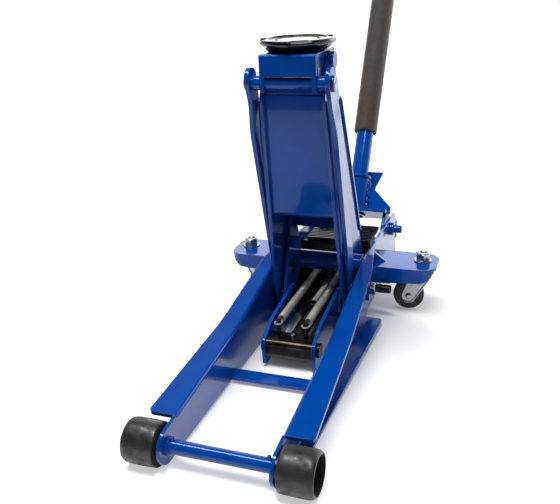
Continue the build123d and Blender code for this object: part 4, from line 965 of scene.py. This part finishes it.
def on_arm(x, forward, up):
    """A place in millimetres from the arm's pivot: across, square to the arm, and along it."""
    return at(x, ARM_PIVOT[0] + forward * math.cos(ARM_LEAN) - up * math.sin(ARM_LEAN),
              ARM_PIVOT[1] + forward * math.sin(ARM_LEAN) + up * math.cos(ARM_LEAN))


shape = bmesh.new()
for side in (-1, 1):
    rings = []
    for share in LIP_RINGS:
        forward = ARM_FRONT_LOW[0] + share * (ARM_FRONT_TOP[0] - ARM_FRONT_LOW[0]) + LIP_SHIFT
        up = ARM_FRONT_LOW[1] + share * (ARM_FRONT_TOP[1] - ARM_FRONT_LOW[1])
        inner = CHEEK_OUTER - CHEEK_TAPER * up - LIP_SUNK
        at_end = share in (LIP_RINGS[0], LIP_RINGS[-1])
        outer = min(inner + LIP_OUT, LIP_LIMIT) - (LIP_CUT if at_end else 0)
        section = ((inner, 0), (outer - LIP_CUT, 0), (outer, LIP_CUT), (outer, LIP_DEPTH - LIP_CUT),
                   (outer - LIP_CUT, LIP_DEPTH), (inner, LIP_DEPTH))
        rings.append([shape.verts.new(on_arm(side * x, forward + depth, up)) for x, depth in section])
    loft(shape, rings)
piece("arm_lips", shape, "blue_paint", "arm", crease=30)

# %% [markdown]
# ## Belly plate
# Below the ram lies a thin black sheet, which stands for the shade behind the springs and under the
# hydraulic block: painted shade. Its sides are turned up against the side plates.

# %% Belly plate
BELLY_HALF, BELLY_T = 74.4, 2
BELLY_FOOT, BELLY_TOP = 3.6, 5.6
BELLY_INNER = BELLY_HALF - BELLY_T
# Each row is a distance behind the axle and the height of the turned-up sides there.
BELLY_ROWS = (
    (457, 6.6), (459, 9), (484, 43), (486, 44), (566, 44), (568.6, 42), (569.4, 8.5), (640, 8.5), (642, 7))

shape = bmesh.new()
rings = []
for y, high in BELLY_ROWS:
    half = ((BELLY_HALF, BELLY_FOOT), (BELLY_HALF, high), (BELLY_INNER, high), (BELLY_INNER, BELLY_TOP))
    section = [*half, *((-x, z) for x, z in half[::-1])]
    rings.append([shape.verts.new(at(x, y, z)) for x, z in section])
loft(shape, rings)
# A black sheet that puts painted shade under the ram and the hydraulic block.
piece("painted_shade_plate", shape, "black_paint", "chassis", crease=30)

# %% [markdown]
# ## Pump roller
# The roller that pushes the pump's plunger wears gloss black: painted shade, for the shade it lies in below
# the yoke. It is a little thicker between two shoulders, and its ends are rounded off.

# %% Pump roller
PUMP_ROLLER_PLACE = (-66.5, 661.55, 76.65)
PUMP_ROLLER = [
    (0.5, 0), (6.6, 0), (7.4, 0.8), (7.4, 14), (7.9, 14.6), (7.9, 118.4), (7.4, 119), (7.4, 132.2),
    (6.6, 133), (0.5, 133)]

shape = bmesh.new()
turned(shape, at(*PUMP_ROLLER_PLACE), Vector((1, 0, 0)), PUMP_ROLLER)
# Gloss black here is painted shade.
roller = piece("painted_shade_roller", shape, "black_paint", "yoke", crease=30)
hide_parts("pump_roller")

# %% [markdown]
# ## Paper floor
# The jack stands on white paper. The paper is a lit surface, which keeps the jack's shadow. What the camera
# and mirrors see of it is lifted towards plain white, more so further from the jack. Close round the jack it
# is lifted little or not at all, which paints shade there.

# %% Paper floor
# How much the paper is lifted at some distances, in metres, from the middle of the jack. The small lift
# near the jack paints shade under and round it.
LIFTS = ((0.09, 0), (0.27, 0.4), (1.3, 1))
MIDDLE = (0, AXLE_Y + 0.4, 0)
FLOOR_NEAR, FLOOR_FAR, FLOOR_HALF = AXLE_Y - 0.5, 6, 5


def seen_by_eye_or_mirror(tree):
    path = add(tree, "ShaderNodeLightPath")
    mirror = add(tree, "ShaderNodeMath", {
        0: path.outputs["Is Glossy Ray"], 1: path.outputs["Is Transmission Ray"]}, operation="MAXIMUM")
    return path.outputs["Is Camera Ray"], mirror.outputs[0]


def paper_floor():
    material, tree, shader, place = start("white_paper", Base_Color=srgb("#EAEAEA"), Roughness=0.9)
    camera_ray, mirror_ray = seen_by_eye_or_mirror(tree)
    seen = add(tree, "ShaderNodeMath", {0: camera_ray, 1: mirror_ray}, operation="MAXIMUM")
    apart = add(tree, "ShaderNodeVectorMath", {0: place, 1: MIDDLE}, operation="DISTANCE")
    reach = LIFTS[-1][0]
    far = add(tree, "ShaderNodeMath", {0: apart.outputs["Value"], 1: reach}, operation="DIVIDE")
    white = add(tree, "ShaderNodeValToRGB", {"Fac": far.outputs[0]})
    white.color_ramp.elements.new(0.5)
    for stop, (distance, level) in zip(white.color_ramp.elements, LIFTS):
        stop.position = distance / reach
        stop.color = (level, level, level, 1)
    lift = add(tree, "ShaderNodeMath", {0: seen.outputs[0], 1: white.outputs["Color"]},
               operation="MULTIPLY")
    glow = add(tree, "ShaderNodeEmission", {"Strength": lift.outputs[0]})
    both = add(tree, "ShaderNodeAddShader", {0: shader.outputs[0], 1: glow.outputs[0]})
    tree.links.new(both.outputs[0], tree.nodes["Material Output"].inputs["Surface"])
    return material


ground = bpy.data.meshes.new("floor")
ground.from_pydata([
    (-FLOOR_HALF, FLOOR_NEAR, 0), (FLOOR_HALF, FLOOR_NEAR, 0),
    (FLOOR_HALF, FLOOR_FAR, 0), (-FLOOR_HALF, FLOOR_FAR, 0)], [], [(0, 1, 2, 3)])
ground.materials.append(paper_floor())
floor = bpy.data.objects.new("floor", ground)
bpy.context.collection.objects.link(floor)
print("the floor is", 2 * FLOOR_HALF, "m wide")

# %% [markdown]
# ## Room
# The room is white to the camera. Mirrors see a backdrop that is white low down at the rear, and a dim room
# elsewhere. That is what the enamel shows: white from behind and below, dark from the room.

# %% Room
AMBIENT, ROOM = 0.12, 0.1


def studio_room():
    """White to the camera; to mirrors a backdrop that is white low down at the rear, and a dim room."""
    world = bpy.data.worlds.new("studio")
    world.use_nodes = True
    tree = world.node_tree
    camera_ray, mirror_ray = seen_by_eye_or_mirror(tree)
    place = add(tree, "ShaderNodeTexCoord")
    heading = add(tree, "ShaderNodeSeparateXYZ", {"Vector": place.outputs["Generated"]})
    rear = add(tree, "ShaderNodeMapRange", {
        "Value": heading.outputs["Y"], "From Min": -0.1, "From Max": 0.5, "To Min": ROOM, "To Max": 1})
    low = add(tree, "ShaderNodeMapRange", {
        "Value": heading.outputs["Z"], "From Min": 0.4, "From Max": 0.62, "To Min": 1, "To Max": 0.3})
    backdrop = add(tree, "ShaderNodeMath", {0: rear.outputs[0], 1: low.outputs[0]}, operation="MULTIPLY")
    mirrored = add(tree, "ShaderNodeMix", {"Factor": mirror_ray, "A": AMBIENT, "B": backdrop.outputs[0]})
    level = add(tree, "ShaderNodeMath", {0: mirrored.outputs[0], 1: camera_ray}, operation="MAXIMUM")
    tree.nodes["Background"].inputs["Color"].default_value = srgb("#FFFFFF")
    tree.links.new(level.outputs[0], tree.nodes["Background"].inputs["Strength"])
    return world


bpy.context.scene.world = studio_room()
print("the room is called", bpy.context.scene.world.name)

# %% [markdown]
# ## Lamps
# A long softbox hangs overhead. A second one stands in front of the backdrop, a third at the rear right.

# %% Lamps
# Each lamp's place, what it points at, its size in metres and its power in watts.
LAMPS = {
    "overhead": ((-0.25, AXLE_Y - 0.15, 2.4), (0, AXLE_Y + 0.35, 0), (2.4, 0.42), 71),
    "backdrop": ((-0.4, AXLE_Y + 2.6, 0.85), (0, AXLE_Y + 0.4, 0.4), (2.8, 1.1), 11),
    "rear_right": ((1.6, 1.9, 0.9), (0, 0, 0.3), (1.6, 1.6), 26)}


def softbox(name, place, target, size, power):
    lamp = bpy.data.lights.new(name, "AREA")
    lamp.shape = "RECTANGLE"
    lamp.size, lamp.size_y = size
    lamp.energy = power
    obj = bpy.data.objects.new(name, lamp)
    obj.location = place
    obj.rotation_euler = (Vector(target) - Vector(place)).to_track_quat("-Z", "Y").to_euler()
    obj.visible_camera = False
    bpy.context.collection.objects.link(obj)


for name, setting in LAMPS.items():
    softbox(name, *setting)
print("lamps:", ", ".join(LAMPS))
